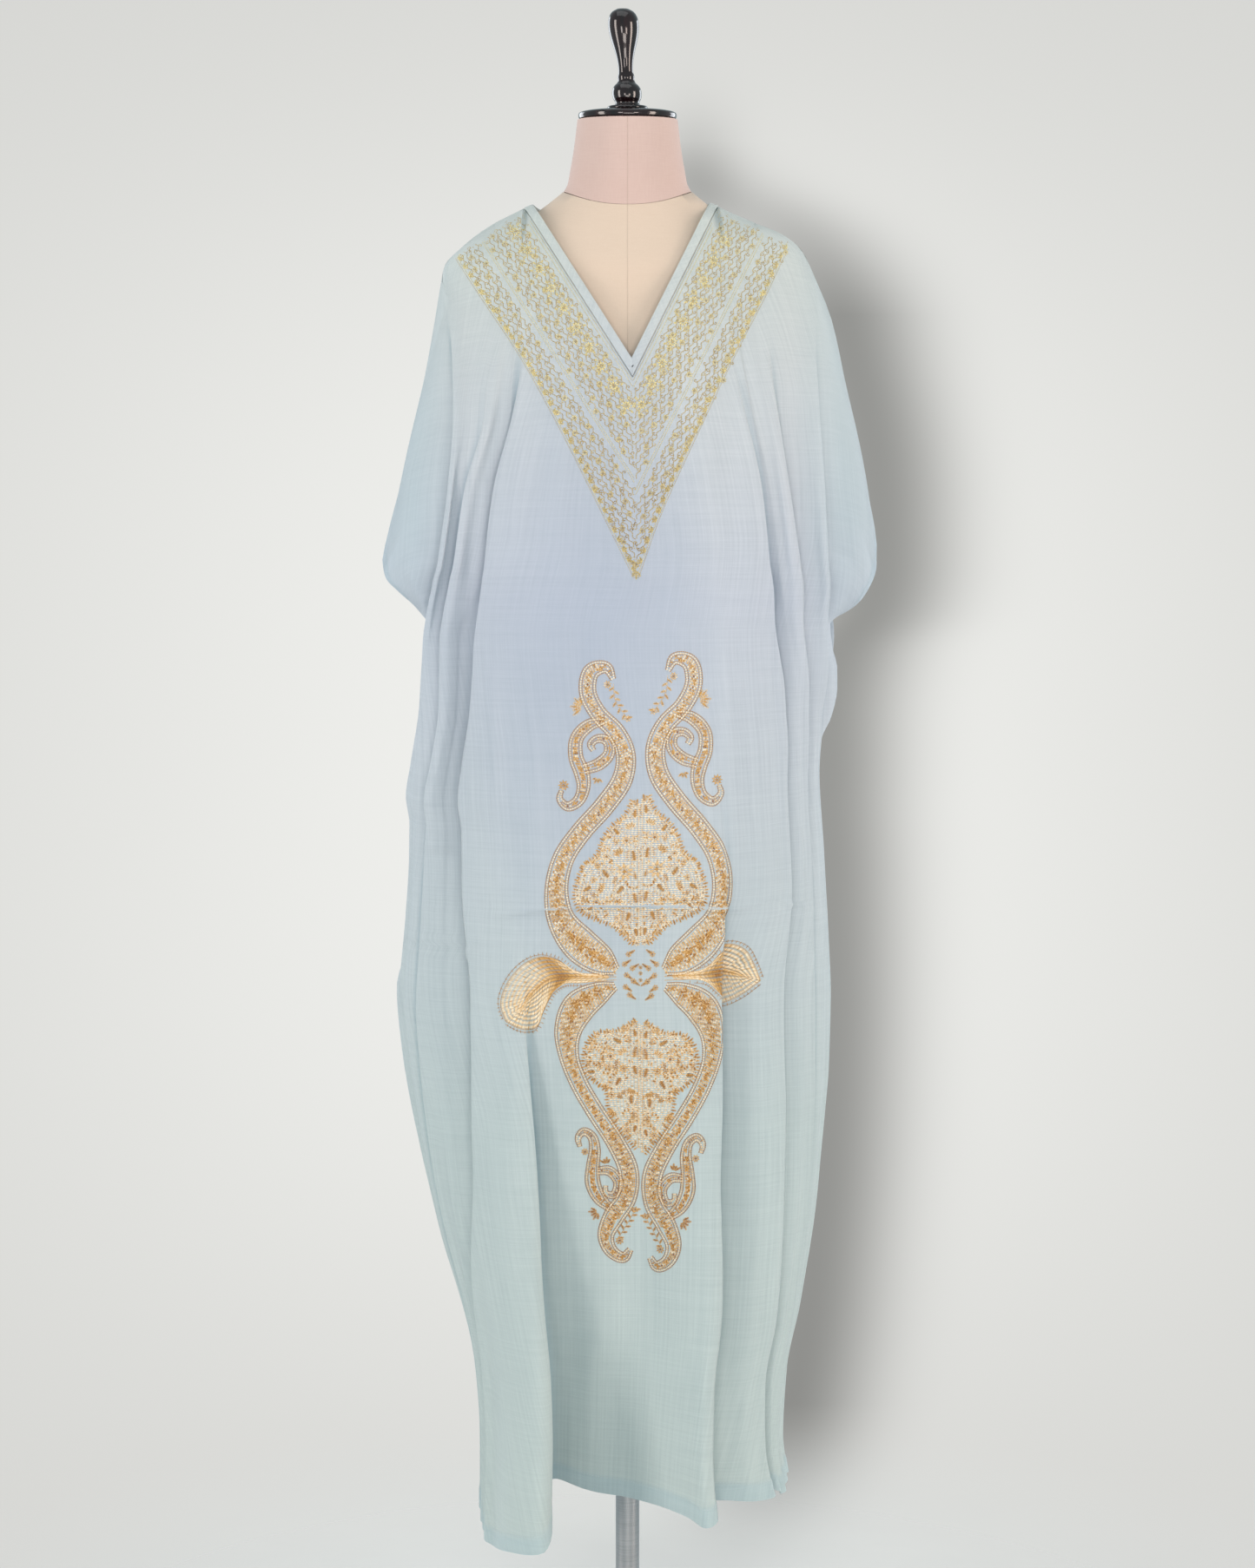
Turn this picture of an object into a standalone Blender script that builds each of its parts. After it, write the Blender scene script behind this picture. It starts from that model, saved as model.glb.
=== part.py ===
"""A kaftan with an embroidered front, hung on a limbless dress form.

Tables are in millimetres and the objects in metres. Z is up, the floor is z = 0, the pole stands
on x = y = 0, the front faces -Y and the viewer's right is +X. Each half of the kaftan is one sheet:
its columns run from the shoulder or neckline down to the hem, its rows run across, and each pleat
is a ridge with a hidden valley beside it.
"""

import math

import bmesh
import bpy
import numpy as np

MM = 0.001

# Driving sizes, in millimetres
CLOTH_WALL = 1.8
SEAM_GAP = 0.3
SEAM_Y = 8.0
# The cuff's opening: its top, the underarm, and how far its front and back edges bow from the seam
CUFF_TOP_Z = 1204.0
ARM_Z = 1140.0
CUFF_OPEN_FRONT = 50.0
CUFF_OPEN_BACK = 34.0
CUFF_BOW = 0.8
# The hem's level, and where the rows start to follow each column's own hem
HEM_Z = 232.0
HEM_BLEND_Z = 440.0
# The bound neck edge: its width, how it stands out and in from the cloth, and its gap from the edge
BINDING_WIDTH = 9.0
BINDING_RISE = 0.8
BINDING_DEPTH = 2.4
BINDING_GAP = 0.45
NECK_POINT_LEFT = (-105.5, 1561.7)
NECK_POINT_RIGHT = (92.5, 1563.8)
NECK_V = (5.0, 1389.0)
BACK_NECK_DROP = 17.0
BACK_NECK_BOW = 0.7

POLE_RADIUS = 12.5
PIECE_GAP = 0.3
NECK_SEAM_Z = 1570.5
NECK_SEAM_DIP = 7.5
KNOB_LEAN = -0.05

# How far a pleat's columns lie from its ridge where it is still flat, toward its drop side
FLAT_SHIFT = {"crest": -7.0, "edge": 0.0, "tuck": 6.0, "valley": 13.0}
# The folded pleat: how far its columns lie across from the ridge, less the tuck, and how deep
FOLD_ACROSS = {"crest": -7.0, "edge": 0.5, "tuck": 0.0, "valley": 5.0}
FOLD_DEPTH = {"crest": 0.0, "edge": 0.25, "tuck": 0.8, "valley": 1.0}
# A pleat shallower than the first overlaps nothing, and one deeper than the second has its whole tuck
OPEN_STEP = 7.0
FULL_STEP = 13.0
# How a pleat's fall is shared when its hem runs from the crest's level to the valley's
HEM_SHARE = {"crest": 0.0, "edge": 0.25, "tuck": 0.8, "valley": 1.0}
FLAT_BELOW_STEP = 6.0
# Height over which a column eases from the top edge into its own place
TOP_BLEND = 70.0
# How far under the shoulder seam the cloth is drawn in to it, and how much of the way the neck's
# corners are, under their binding
SEAM_BLEND = 14.0
CORNER_DRAW = 0.45
# Points that the top outline is measured with on each side
OUTLINE_POINTS = 90
# Extra rise of the hem from the last pleat to the side seam
SEAM_HEM_RISE = 3.0
# Longest step between rings of the dress form, how square they are, and how far from the neck seam
# they still follow its dip
LOFT_STEP = 45.0
FORM_SQUARENESS = 0.92
SEAM_DIP_REACH = 34.0

# Levels of the rows below the arm, and how the rows above it share each column
LOWER_LEVELS = (1140, 1108, 1070, 1030, 985, 945, 903, 884, 850, 805, 755, 700, 640, 575, 505, 440, 370,
                300, 232)
UPPER_SHARES = (1.0, 0.965, 0.91, 0.84, 0.76, 0.67, 0.57, 0.47, 0.37, 0.27, 0.18, 0.09)
# The same rows on the seam column, where they run down the cuff's edge
CUFF_SHARES = (1.0, 0.985, 0.965, 0.945, 0.92, 0.89, 0.86, 0.82, 0.76, 0.62, 0.42, 0.2)

# Outline of the sleeve and side on each side, as level and distance out from the axis
OUTLINE_LEFT = ((1566, 97), (1542, 144), (1522, 170), (1504, 187), (1491, 190), (1439, 199), (1386, 209),
                (1333, 220), (1279, 234), (1226, 248), (1204, 252), (1170, 241), (1140, 232),
                (1100, 226), (1060, 225), (1000, 233), (965, 238), (935, 233), (900, 233), (840, 236),
                (762, 240), (700, 235), (609, 222), (516, 199), (441, 178), (371, 162), (300, 156),
                (232, 155))
OUTLINE_RIGHT = ((1568, 84), (1553, 115), (1534, 161), (1519, 178), (1491, 192), (1449, 209), (1373, 226),
                 (1271, 248), (1214, 257), (1195, 254), (1140, 232), (1092, 222), (1043, 208), (983, 201),
                 (902, 205), (820, 210), (751, 213), (684, 213), (567, 204), (439, 184), (367, 167),
                 (300, 164), (232, 174))
SEAM_LEFT = ((1204, 252), (1187, 246), (1174, 233), (1159, 217), (1145, 206), (1140, 202), (1101, 202),
             (1065, 206), (1005, 217), (943, 222), (884, 223), (847, 224), (802, 229), (762, 239),
             (701, 234), (655, 228), (609, 220), (516, 196), (441, 173), (371, 157), (300, 150), (232, 149))
SEAM_RIGHT = ((1204, 256), (1195, 254), (1172, 242), (1154, 228), (1145, 214), (1140, 209), (1113, 212),
              (1092, 217), (1070, 217), (1043, 211), (1012, 195), (983, 194), (943, 197), (902, 201),
              (820, 205), (751, 208), (684, 209), (634, 204), (567, 198), (499, 190), (439, 178), (367, 161),
              (316, 158), (232, 164))

# Depth of the front and back from the side seam, and how square each section is
DEPTH_FRONT = ((1570, 60), (1540, 75), (1500, 95), (1450, 118), (1400, 132), (1350, 144), (1300, 150),
               (1200, 151), (1050, 152), (900, 156), (600, 164), (232, 170))
DEPTH_BACK = ((1570, 76), (1555, 85), (1530, 95), (1500, 104), (1450, 113), (1400, 117), (1300, 117),
              (1140, 117), (1000, 124), (800, 137), (600, 146), (232, 150))
SQUARENESS = ((1570, 2.2), (1300, 2.2), (1000, 2.4), (600, 2.7), (232, 3.1))

# Pleats: x at the upper stations, then the share of the way round to the side seam below the arm.
# "drop" is the side that the cloth falls back on: 1 toward the seam, -1 toward the centre.
UPPER_STATIONS = (1566, 1493, 1450, 1350, 1280, 1200)
LOWER_STATIONS = (1110, 1000, 890, 760, 600, 430, 232)
STEP_STATIONS = (1520, 1430, 1350, 1200, 1110, 1000, 903, 884, 760, 600, 430, 232)
FRONT_PLEATS = {
    "sleeve_left": dict(
        drop=1, turn=40, tuck=3,
        x=(-205, -190, -179, -176.5, -181, -192), share=(0.72, 0.795, 0.82, 0.84, 0.86, 0.89, 0.93),
        step=(0, 5, 13, 15, 13, 12, 11, 9, 7, 7, 7, 6), hem=(246, 252)),
    "flap_left": dict(
        drop=1, turn=22, tuck=4,
        x=(-138, -134, -133, -142, -163, -175), share=(0.60, 0.62, 0.66, 0.68, 0.71, 0.78, 0.87),
        step=(0, 2, 5, 10, 12, 12, 9, 7, 6, 7, 7, 6), hem=(200, 214)),
    "panel_left": dict(
        drop=1, turn=12, tuck=7,
        x=(-90, -91, -96, -113, -132, -142), share=(0.45, 0.468, 0.455, 0.394, 0.43, 0.64, 0.76),
        step=(0, 3, 9, 16, 20, 22, 22, 22, 20, 16, 14, 12), hem=(188, 202)),
    "column_left": dict(
        drop=-1, turn=0, tuck=3,
        x=(-60, -60, -62, -72, -80, -88), share=(0.242, 0.248, 0.244, 0.222, 0.196, 0.222, 0.226),
        step=(0, 0, 0, 0, 0, 1, 2, 2, 6, 18, 48, 100), hem=(203, 250)),
    "edge_right": dict(
        drop=1, turn=0, tuck=7,
        x=(50, 50, 52, 60, 66, 74), share=(0.20, 0.24, 0.255, 0.228, 0.225, 0.25, 0.226),
        step=(0, 0, 0, 0, 0, 3, 5, 6, 14, 20, 26, 30), hem=(229, 248)),
    "panel_right": dict(
        drop=1, turn=12, tuck=4,
        x=(74, 80, 90, 117, 133, 143), share=(0.442, 0.55, 0.56, 0.479, 0.493, 0.55, 0.62),
        step=(0, 2, 6, 10, 12, 14, 14, 14, 14, 16, 17, 17), hem=(245, 250)),
    "side_right": dict(
        drop=1, turn=22, tuck=5,
        x=(130, 131, 134, 150, 161, 172), share=(0.56, 0.70, 0.71, 0.67, 0.68, 0.70, 0.75),
        step=(0, 3, 9, 14, 15, 14, 10, 9, 8, 9, 10, 10), hem=(243, 248)),
    "sleeve_right": dict(
        drop=1, turn=40, tuck=4,
        x=(178, 184, 187, 193.5, 199.5, 204), share=(0.70, 0.82, 0.83, 0.83, 0.83, 0.85, 0.87),
        step=(0, 4, 11, 16, 9, 5, 4, 4, 5, 7, 8, 8), hem=(255, 256)),
}
BACK_PLEATS = {
    "back_sleeve_left": dict(
        drop=1, turn=38, tuck=3,
        x=(-200, -181, -176, -180, -186, -194), share=(0.76, 0.78, 0.80, 0.80, 0.80, 0.80, 0.80),
        step=(0, 6, 10, 12, 12, 12, 12, 12, 12, 14, 16, 16), hem=(262, 264)),
    "back_left": dict(
        drop=1, turn=14, tuck=4,
        x=(-78, -84, -92, -110, -124, -134), share=(0.46, 0.46, 0.47, 0.48, 0.48, 0.49, 0.50),
        step=(0, 0, 3, 8, 12, 15, 17, 18, 20, 22, 26, 30), hem=(264, 268)),
    "back_inner": dict(
        drop=-1, turn=0, tuck=2,
        x=(-38, -38, -38, -40, -42, -46), share=(0.15, 0.15, 0.15, 0.15, 0.16, 0.17, 0.18),
        step=(0, 0, 0, 2, 5, 8, 10, 11, 16, 22, 28, 34), hem=(262, 270)),
    "back_middle": dict(
        drop=1, turn=4, tuck=4,
        x=(22, 26, 32, 40, 46, 50), share=(0.17, 0.17, 0.18, 0.18, 0.17, 0.17, 0.16),
        step=(0, 0, 0, 3, 6, 9, 12, 13, 18, 22, 24, 28), hem=(262, 269)),
    "back_right": dict(
        drop=1, turn=16, tuck=5,
        x=(62, 78, 92, 112, 128, 140), share=(0.47, 0.48, 0.49, 0.50, 0.51, 0.51, 0.52),
        step=(0, 0, 4, 9, 13, 16, 18, 18, 20, 20, 24, 26), hem=(265, 268)),
    "back_sleeve_right": dict(
        drop=1, turn=38, tuck=3,
        x=(180, 182, 184, 190, 196, 200), share=(0.80, 0.82, 0.82, 0.80, 0.80, 0.80, 0.80),
        step=(0, 5, 9, 12, 12, 12, 12, 12, 12, 14, 16, 16), hem=(262, 264)),
}

# Columns between pleats: the two neighbours, the weight of the second, and how far the cloth has
# fallen back, as shares of the first and second neighbours' steps
FRONT_BETWEEN = (
    ("flap_middle", "sleeve_left", "flap_left", 0.5, 0.0, 0.45),
    ("neck_left", "flap_left", "panel_left", 0.52, 0.0, 0.5),
    ("collar_left", "flap_left", "panel_left", 0.66, 0.0, 0.7),
    ("panel_side", "panel_left", "column_left", 0.5, 0.0, 0.0),
    ("recess_left", "column_left", "edge_right", 0.28, 0.92, 0.0),
    ("neck_v", "column_left", "edge_right", 0.52, 0.70, 0.0),
    ("recess_right", "column_left", "edge_right", 0.77, 0.26, 0.0),
    ("strip_right", "edge_right", "panel_right", 0.52, 0.45, 0.0),
    ("collar_right", "panel_right", "side_right", 0.36, 0.6, 0.0),
    ("neck_right", "panel_right", "side_right", 0.5, 0.45, 0.0),
    ("side_strip", "side_right", "sleeve_right", 0.5, 0.45, 0.0),
)
BACK_BETWEEN = (
    ("blade_left", "back_sleeve_left", "back_left", 0.3, 0.0, 0.2),
    ("shoulder_left", "back_sleeve_left", "back_left", 0.48, 0.0, 0.5),
    ("neck_left", "back_sleeve_left", "back_left", 0.66, 0.0, 0.75),
    ("collar_left", "back_sleeve_left", "back_left", 0.8, 0.0, 0.9),
    ("neck_back_left", "back_left", "back_inner", 0.5, 0.0, 0.0),
    ("spine", "back_inner", "back_middle", 0.5, 0.6, 0.0),
    ("neck_back_right", "back_middle", "back_right", 0.5, 0.5, 0.0),
    ("collar_right", "back_right", "back_sleeve_right", 0.2, 0.8, 0.0),
    ("neck_right", "back_right", "back_sleeve_right", 0.35, 0.6, 0.0),
    ("shoulder_right", "back_right", "back_sleeve_right", 0.54, 0.45, 0.0),
    ("blade_right", "back_right", "back_sleeve_right", 0.74, 0.3, 0.0),
)
# Columns that start at a corner of the neckline or just inside one: their x at the upper stations
CORNERS = {
    "neck_left": (-105.7, -112, -116, -129, -147, -159),
    "collar_left": (-101.5, -107.5, -110, -122, -139, -150),
    "neck_v": (5, 5, 5, 5, 5, 5),
    "collar_right": (88.5, 99.5, 108, 127, 142, 152),
    "neck_right": (92.7, 106, 114, 134, 148, 159),
}
# How far along the neckline the collar columns start from its left and right corners
COLLAR_INSET = 5.0
# Sleeve columns outside the last pleat: the level of the top of each, and its share of the way round
# to the seam at the stations
SLEEVE_STATIONS = (1480, 1400, 1300, 1204, 1140, 232)
SLEEVE_COLUMNS = ((1300, (1.9, 1.4, 1.0, 0.66, 0.66, 0.66)), (1400, (1.3, 1.0, 0.62, 0.34, 0.34, 0.34)))

# Dress form sections: level, half width, depth in front of the axis, depth behind it
FORM_SECTIONS = ((800, 122, 88, 98), (808, 138, 102, 110), (830, 146, 110, 116), (900, 150, 112, 118),
                 (1000, 138, 104, 108), (1110, 120, 96, 94), (1200, 131, 108, 98), (1290, 150, 126, 105),
                 (1345, 158, 129, 108), (1400, 168, 115, 110), (1450, 175, 99, 106), (1485, 174, 86, 98),
                 (1505, 168, 79, 94), (1520, 153, 71, 89), (1535, 127, 63, 84), (1550, 98, 57, 78),
                 (1562, 78, 52, 74), (1570, 66, 49, 71))
NECK_SECTIONS = ((1570.4, 65, 49, 71), (1580, 61, 49, 69), (1600, 58, 51, 62), (1625, 54, 51, 53),
                 (1650, 51, 50, 50))
# Turned knob above the neck: radius and height over the cap's underside
CAP_PROFILE = ((46, 0), (49, 0.8), (50, 3.5), (49.4, 6.4), (46, 8), (34, 9.2), (21, 10.2))
KNOB_PROFILE = ((20, 10.6), (20.5, 12), (19.5, 13.6), (13, 15), (12.2, 17), (14.2, 21), (15, 26),
                (14.2, 31), (12, 34.5), (9.4, 37), (8.4, 40), (8.6, 43), (7.6, 47), (7.5, 52), (8.4, 60),
                (10.4, 69), (13, 78), (15, 87), (15.6, 95), (14.6, 102), (11.4, 107.5), (6, 110.8))
# Weighted base and its hub: radius and height over the floor
BASE_PROFILE = ((171, 0), (175, 4), (175, 12), (169, 18), (30, 21), (24, 48), (20, 52))

FRONT = -1
BACK = 1
SHARP_ANGLE = math.radians(40)
MITRE_LIMIT = 0.55
MERGE_DISTANCE = 0.001


def smooth(stations, values, at):
    """Read a table as a smooth curve that never overshoots its own values."""
    order = np.argsort(stations)
    x = np.asarray(stations, float)[order]
    y = np.asarray(values, float)[order]
    gap = np.diff(x)
    slope = np.diff(y) / gap
    tangent = np.zeros(len(x))
    tangent[0] = slope[0]
    tangent[-1] = slope[-1]
    for i in range(1, len(x) - 1):
        before, after = slope[i - 1], slope[i]
        if before * after > 0:
            tangent[i] = 2 * before * after / (before + after)
    at = np.clip(np.asarray(at, float), x[0], x[-1])
    cell = np.clip(np.searchsorted(x, at, side="right") - 1, 0, len(x) - 2)
    t = (at - x[cell]) / gap[cell]
    rise = y[cell + 1] - y[cell]
    start = tangent[cell] * gap[cell]
    end = tangent[cell + 1] * gap[cell]
    return y[cell] + t * start + t * t * (3 * rise - 2 * start - end) + t ** 3 * (start + end - 2 * rise)


def curve(table, at):
    """Read a table of (level, value) rows at the given levels."""
    rows = np.array(table, float)
    return smooth(rows[:, 0], rows[:, 1], at)


def half_width(side, z):
    return curve(OUTLINE_LEFT if side < 0 else OUTLINE_RIGHT, z)


def girth_point(side, facing, share, z):
    """A point of the plain section: share 0 is the centre line and 1 the side seam."""
    angle = np.clip(share, -1, 1) * math.pi / 2
    power = 2 / curve(SQUARENESS, z)
    depth = curve(DEPTH_FRONT if facing < 0 else DEPTH_BACK, z)
    out = np.sign(angle) * np.abs(np.sin(angle)) ** power
    return side * half_width(side, z) * out, SEAM_Y + facing * depth * np.cos(angle) ** power


def share_at(side, x, z):
    """The share round the section at which it is x from the axis."""
    ratio = np.clip(side * x / half_width(side, z), -1, 1)
    lean = np.abs(ratio) ** (curve(SQUARENESS, z) / 2)
    return np.sign(ratio) * np.arcsin(lean) / (math.pi / 2)


def quarter_length(side, facing, z):
    depth = curve(DEPTH_FRONT if facing < 0 else DEPTH_BACK, z)
    return math.pi / 2 * np.hypot(half_width(side, z), depth) / math.sqrt(2)


def column_share(side, upper_x, lower_share, z):
    """The share of a column at each level, from its x above the arm and its shares below it."""
    upper = share_at(side, smooth(UPPER_STATIONS, upper_x, z), z)
    joint = share_at(side, np.array(upper_x[-1:], float), np.array(UPPER_STATIONS[-1:], float))[0]
    lower = smooth((UPPER_STATIONS[-1],) + LOWER_STATIONS, (joint,) + tuple(lower_share), z)
    return np.where(z > UPPER_STATIONS[-1], upper, lower)


def pleat_column(pleats, name, facing, part, z):
    """One of a pleat's four columns: its crest, edge, tuck or valley."""
    row = pleats[name]
    side = -1 if row["x"][0] < 0 else 1
    step = smooth(STEP_STATIONS, row["step"], z)
    share = column_share(side, row["x"], row["share"], z)
    shifted = share + row["drop"] * FLAT_SHIFT[part] / quarter_length(side, facing, z)
    flat_x, flat_y = girth_point(side, facing, shifted, z)
    ridge_x, ridge_y = girth_point(side, facing, share, z)
    turn = math.radians(row["turn"])
    inward = (-side * math.sin(turn), -facing * math.cos(turn))
    across = (side * row["drop"] * math.cos(turn), -facing * row["drop"] * math.sin(turn))
    overlap = row["tuck"] * np.clip((step - OPEN_STEP) / (FULL_STEP - OPEN_STEP), 0, 1)
    along = FOLD_ACROSS[part] - (overlap if part in ("tuck", "valley") else 0.0)
    sink = FOLD_DEPTH[part] * step
    fold_x = ridge_x + along * across[0] + sink * inward[0]
    fold_y = ridge_y + along * across[1] + sink * inward[1]
    folded = 1 - np.exp(-((step / FLAT_BELOW_STEP) ** 2))
    return flat_x + folded * (fold_x - flat_x), flat_y + folded * (fold_y - flat_y)


def between_column(pleats, row, facing, z):
    """A plain column between two pleats."""
    name, first, second, weight, fall_first, fall_second = row
    shares = []
    for pleat in (first, second):
        side = -1 if pleats[pleat]["x"][0] < 0 else 1
        shares.append(side * column_share(side, pleats[pleat]["x"], pleats[pleat]["share"], z))
    signed = shares[0] + weight * (shares[1] - shares[0])
    if name in CORNERS:
        side = -1 if CORNERS[name][0] < 0 else 1
        pinned = side * share_at(side, smooth(UPPER_STATIONS, CORNERS[name], z), z)
        blend = smooth((ARM_Z, UPPER_STATIONS[-1]), (0, 1), z)
        signed = signed + blend * (pinned - signed)
    left = girth_point(-1, facing, -signed, z)
    right = girth_point(1, facing, signed, z)
    x = np.where(signed < 0, left[0], right[0])
    y = np.where(signed < 0, left[1], right[1])
    fall = fall_first * smooth(STEP_STATIONS, pleats[first]["step"], z)
    fall = fall + fall_second * smooth(STEP_STATIONS, pleats[second]["step"], z)
    return x, y - facing * fall


def seam_column(side, facing, z):
    """The shoulder, cuff and side seam, with the cuff's two edges apart."""
    table = SEAM_LEFT if side < 0 else SEAM_RIGHT
    out = np.where(z > CUFF_TOP_Z, half_width(side, z), curve(table, z))
    rise = np.clip((z - ARM_Z) / (CUFF_TOP_Z - ARM_Z), 0, 1)
    apart = (CUFF_OPEN_FRONT if facing < 0 else CUFF_OPEN_BACK) * np.sin(math.pi * rise) ** CUFF_BOW
    return side * out, SEAM_Y + facing * (SEAM_GAP / 2 + apart)


def sleeve_column(pleats, name, side, facing, shares, z):
    """A column between the outermost pleat and the seam, on a quarter round."""
    valley_x, valley_y = pleat_column(pleats, name, facing, "valley", z)
    seam_x, seam_y = seam_column(side, facing, z)
    angle = np.clip(smooth(SLEEVE_STATIONS, shares, z), 0, 1) * math.pi / 2
    x = valley_x + (seam_x - valley_x) * np.sin(angle)
    return x, seam_y + (valley_y - seam_y) * np.cos(angle)


def neckline(facing, count=OUTLINE_POINTS // 2):
    """The cut edge of the neck from left to right, as x and z."""
    left, right = np.array(NECK_POINT_LEFT), np.array(NECK_POINT_RIGHT)
    share = np.linspace(0, 1, count)[:, None]
    if facing < 0:
        low = np.array(NECK_V)
        return np.concatenate([left + share * (low - left), low + share[1:] * (right - low)])
    line = left + share * (right - left)
    line[:, 1] -= BACK_NECK_DROP * (1 - (2 * share[:, 0] - 1) ** 2) ** BACK_NECK_BOW
    return line


def top_outline(facing):
    """The whole top edge from the left cuff to the right one: x, z and length so far."""
    left_z = np.linspace(CUFF_TOP_Z, NECK_POINT_LEFT[1], OUTLINE_POINTS)
    right_z = np.linspace(NECK_POINT_RIGHT[1], CUFF_TOP_Z, OUTLINE_POINTS)
    left = np.stack([-half_width(-1, left_z), left_z], axis=1)
    right = np.stack([half_width(1, right_z), right_z], axis=1)
    left[-1] = NECK_POINT_LEFT
    right[0] = NECK_POINT_RIGHT
    line = np.concatenate([left, neckline(facing)[1:-1], right])
    length = np.concatenate([[0], np.cumsum(np.hypot(*np.diff(line, axis=0).T))])
    return line, length


def ridge_top(facing, upper_x):
    """How far along the top edge a column of this x meets it."""
    line, length = top_outline(facing)
    gap = line[:, 0] - smooth(UPPER_STATIONS, upper_x, line[:, 1])
    cross = np.flatnonzero((gap[:-1] < 0) & (gap[1:] >= 0))[0]
    share = gap[cross] / (gap[cross] - gap[cross + 1])
    return length[cross] + share * (length[cross + 1] - length[cross])


def level_top(facing, side, z):
    """How far along the top edge the sleeve's outline reaches this level."""
    line, length = top_outline(facing)
    part = slice(0, OUTLINE_POINTS) if side < 0 else slice(len(line) - OUTLINE_POINTS, len(line))
    return length[part][np.argmin(np.abs(line[part, 1] - z))]


def corner_top(facing, name):
    """How far along the top edge a column of the neckline's corners starts."""
    line, length = top_outline(facing)
    point = NECK_V
    inset = 0.0
    if name.endswith("left"):
        point = NECK_POINT_LEFT
        inset = COLLAR_INSET
    if name.endswith("right"):
        point = NECK_POINT_RIGHT
        inset = -COLLAR_INSET
    corner = length[np.argmin(np.hypot(line[:, 0] - point[0], line[:, 1] - point[1]))]
    return corner + (inset if name.startswith("collar") else 0.0)


def pinned(place, facing, along):
    """A column that starts exactly on the top edge and eases into its own place below."""
    line, length = top_outline(facing)
    x, z = (float(np.interp(along, length, line[:, k])) for k in (0, 1))
    side = -1 if x < 0 else 1
    shift = x - float(place(np.array([z]))[0][0])
    inside_neck = min(x - NECK_POINT_LEFT[0], NECK_POINT_RIGHT[0] - x)
    draw = 0.0 if inside_neck > 0.5 else CORNER_DRAW if inside_neck > -0.5 else 1.0
    at = np.array([z])
    top_y = float(girth_point(side, facing, share_at(side, np.array([x]), at), at)[1][0])
    drawn = draw * (SEAM_Y + facing * SEAM_GAP / 2 - top_y)

    def eased(levels):
        weight = np.exp(-(((z - levels) / TOP_BLEND) ** 2))
        own_x, own_y = place(levels)
        eased_x = own_x + weight * shift
        plain_y = girth_point(side, facing, share_at(side, eased_x, levels), levels)[1]
        eased_y = own_y + weight * (plain_y - own_y)
        return eased_x, eased_y + np.exp(-(((z - levels) / SEAM_BLEND) ** 2)) * drawn

    return eased, z


def sheet_columns(facing):
    """Every column of a half, from the left seam to the right, as name, place(z), top and hem."""
    pleats = FRONT_PLEATS if facing < 0 else BACK_PLEATS
    between = FRONT_BETWEEN if facing < 0 else BACK_BETWEEN
    names = list(pleats)
    sides = {name: -1 if pleats[name]["x"][0] < 0 else 1 for name in names}
    ridges = {name: ridge_top(facing, pleats[name]["x"]) for name in names}
    corners = {name: corner_top(facing, name) for name in CORNERS}
    columns = []

    def add(name, place, along, hem):
        eased, top = pinned(place, facing, along)
        columns.append((name, eased, top, hem))

    def sleeve(side):
        outer = names[0] if side < 0 else names[-1]
        hem = pleats[outer]["hem"][1] + SEAM_HEM_RISE
        made = [("seam", lambda z: seam_column(side, facing, z), CUFF_TOP_Z, hem)]
        for level, shares in SLEEVE_COLUMNS:
            place = lambda z, shares=shares: sleeve_column(pleats, outer, side, facing, shares, z)
            eased, top = pinned(place, facing, level_top(facing, side, level))
            made.append(("sleeve", eased, top, hem))
        return made

    def add_pleat(name):
        row = pleats[name]
        parts = ["crest", "edge", "tuck", "valley"]
        if sides[name] * row["drop"] < 0:
            parts.reverse()
        for part in parts:
            place = lambda z, part=part: pleat_column(pleats, name, facing, part, z)
            hem = row["hem"][0] + HEM_SHARE[part] * (row["hem"][1] - row["hem"][0])
            along = ridges[name] + sides[name] * row["drop"] * FLAT_SHIFT[part]
            add(name + "_" + part, place, along, hem)

    columns += sleeve(-1)
    for name in names:
        add_pleat(name)
        for row in between:
            if row[1] != name:
                continue
            place = lambda z, row=row: between_column(pleats, row, facing, z)
            along = ridges[row[1]] + row[3] * (ridges[row[2]] - ridges[row[1]])
            ends = pleats[row[1]]["hem"], pleats[row[2]]["hem"]
            near = ends[0][1] if (row[4] > 0 or row[5] > 0) else ends[0][0]
            add(row[0], place, corners.get(row[0], along), near + row[3] * (ends[1][0] - near))
    columns += sleeve(1)[::-1]
    return columns


def row_levels(top, hem, shares=UPPER_SHARES):
    """Levels of one column's points, from its top down to the hem."""
    upper = [ARM_Z + (top - ARM_Z) * share for share in shares]
    lower = np.array(LOWER_LEVELS, float)
    shift = np.clip((HEM_BLEND_Z - lower) / (HEM_BLEND_Z - HEM_Z), 0, 1)
    return np.concatenate([upper, lower + shift * (hem - HEM_Z)])


def sheet_grid(facing):
    """The outer face of a half as an array of points, columns by rows."""
    grid = []
    for name, place, top, hem in sheet_columns(facing):
        z = row_levels(top, hem, CUFF_SHARES if name == "seam" else UPPER_SHARES)
        x, y = place(z)
        if name != "seam":
            y = np.minimum(y, SEAM_Y - SEAM_GAP / 2) if facing < 0 else np.maximum(y, SEAM_Y + SEAM_GAP / 2)
        grid.append(np.stack([x, y, z], axis=1))
    return np.array(grid)


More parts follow.
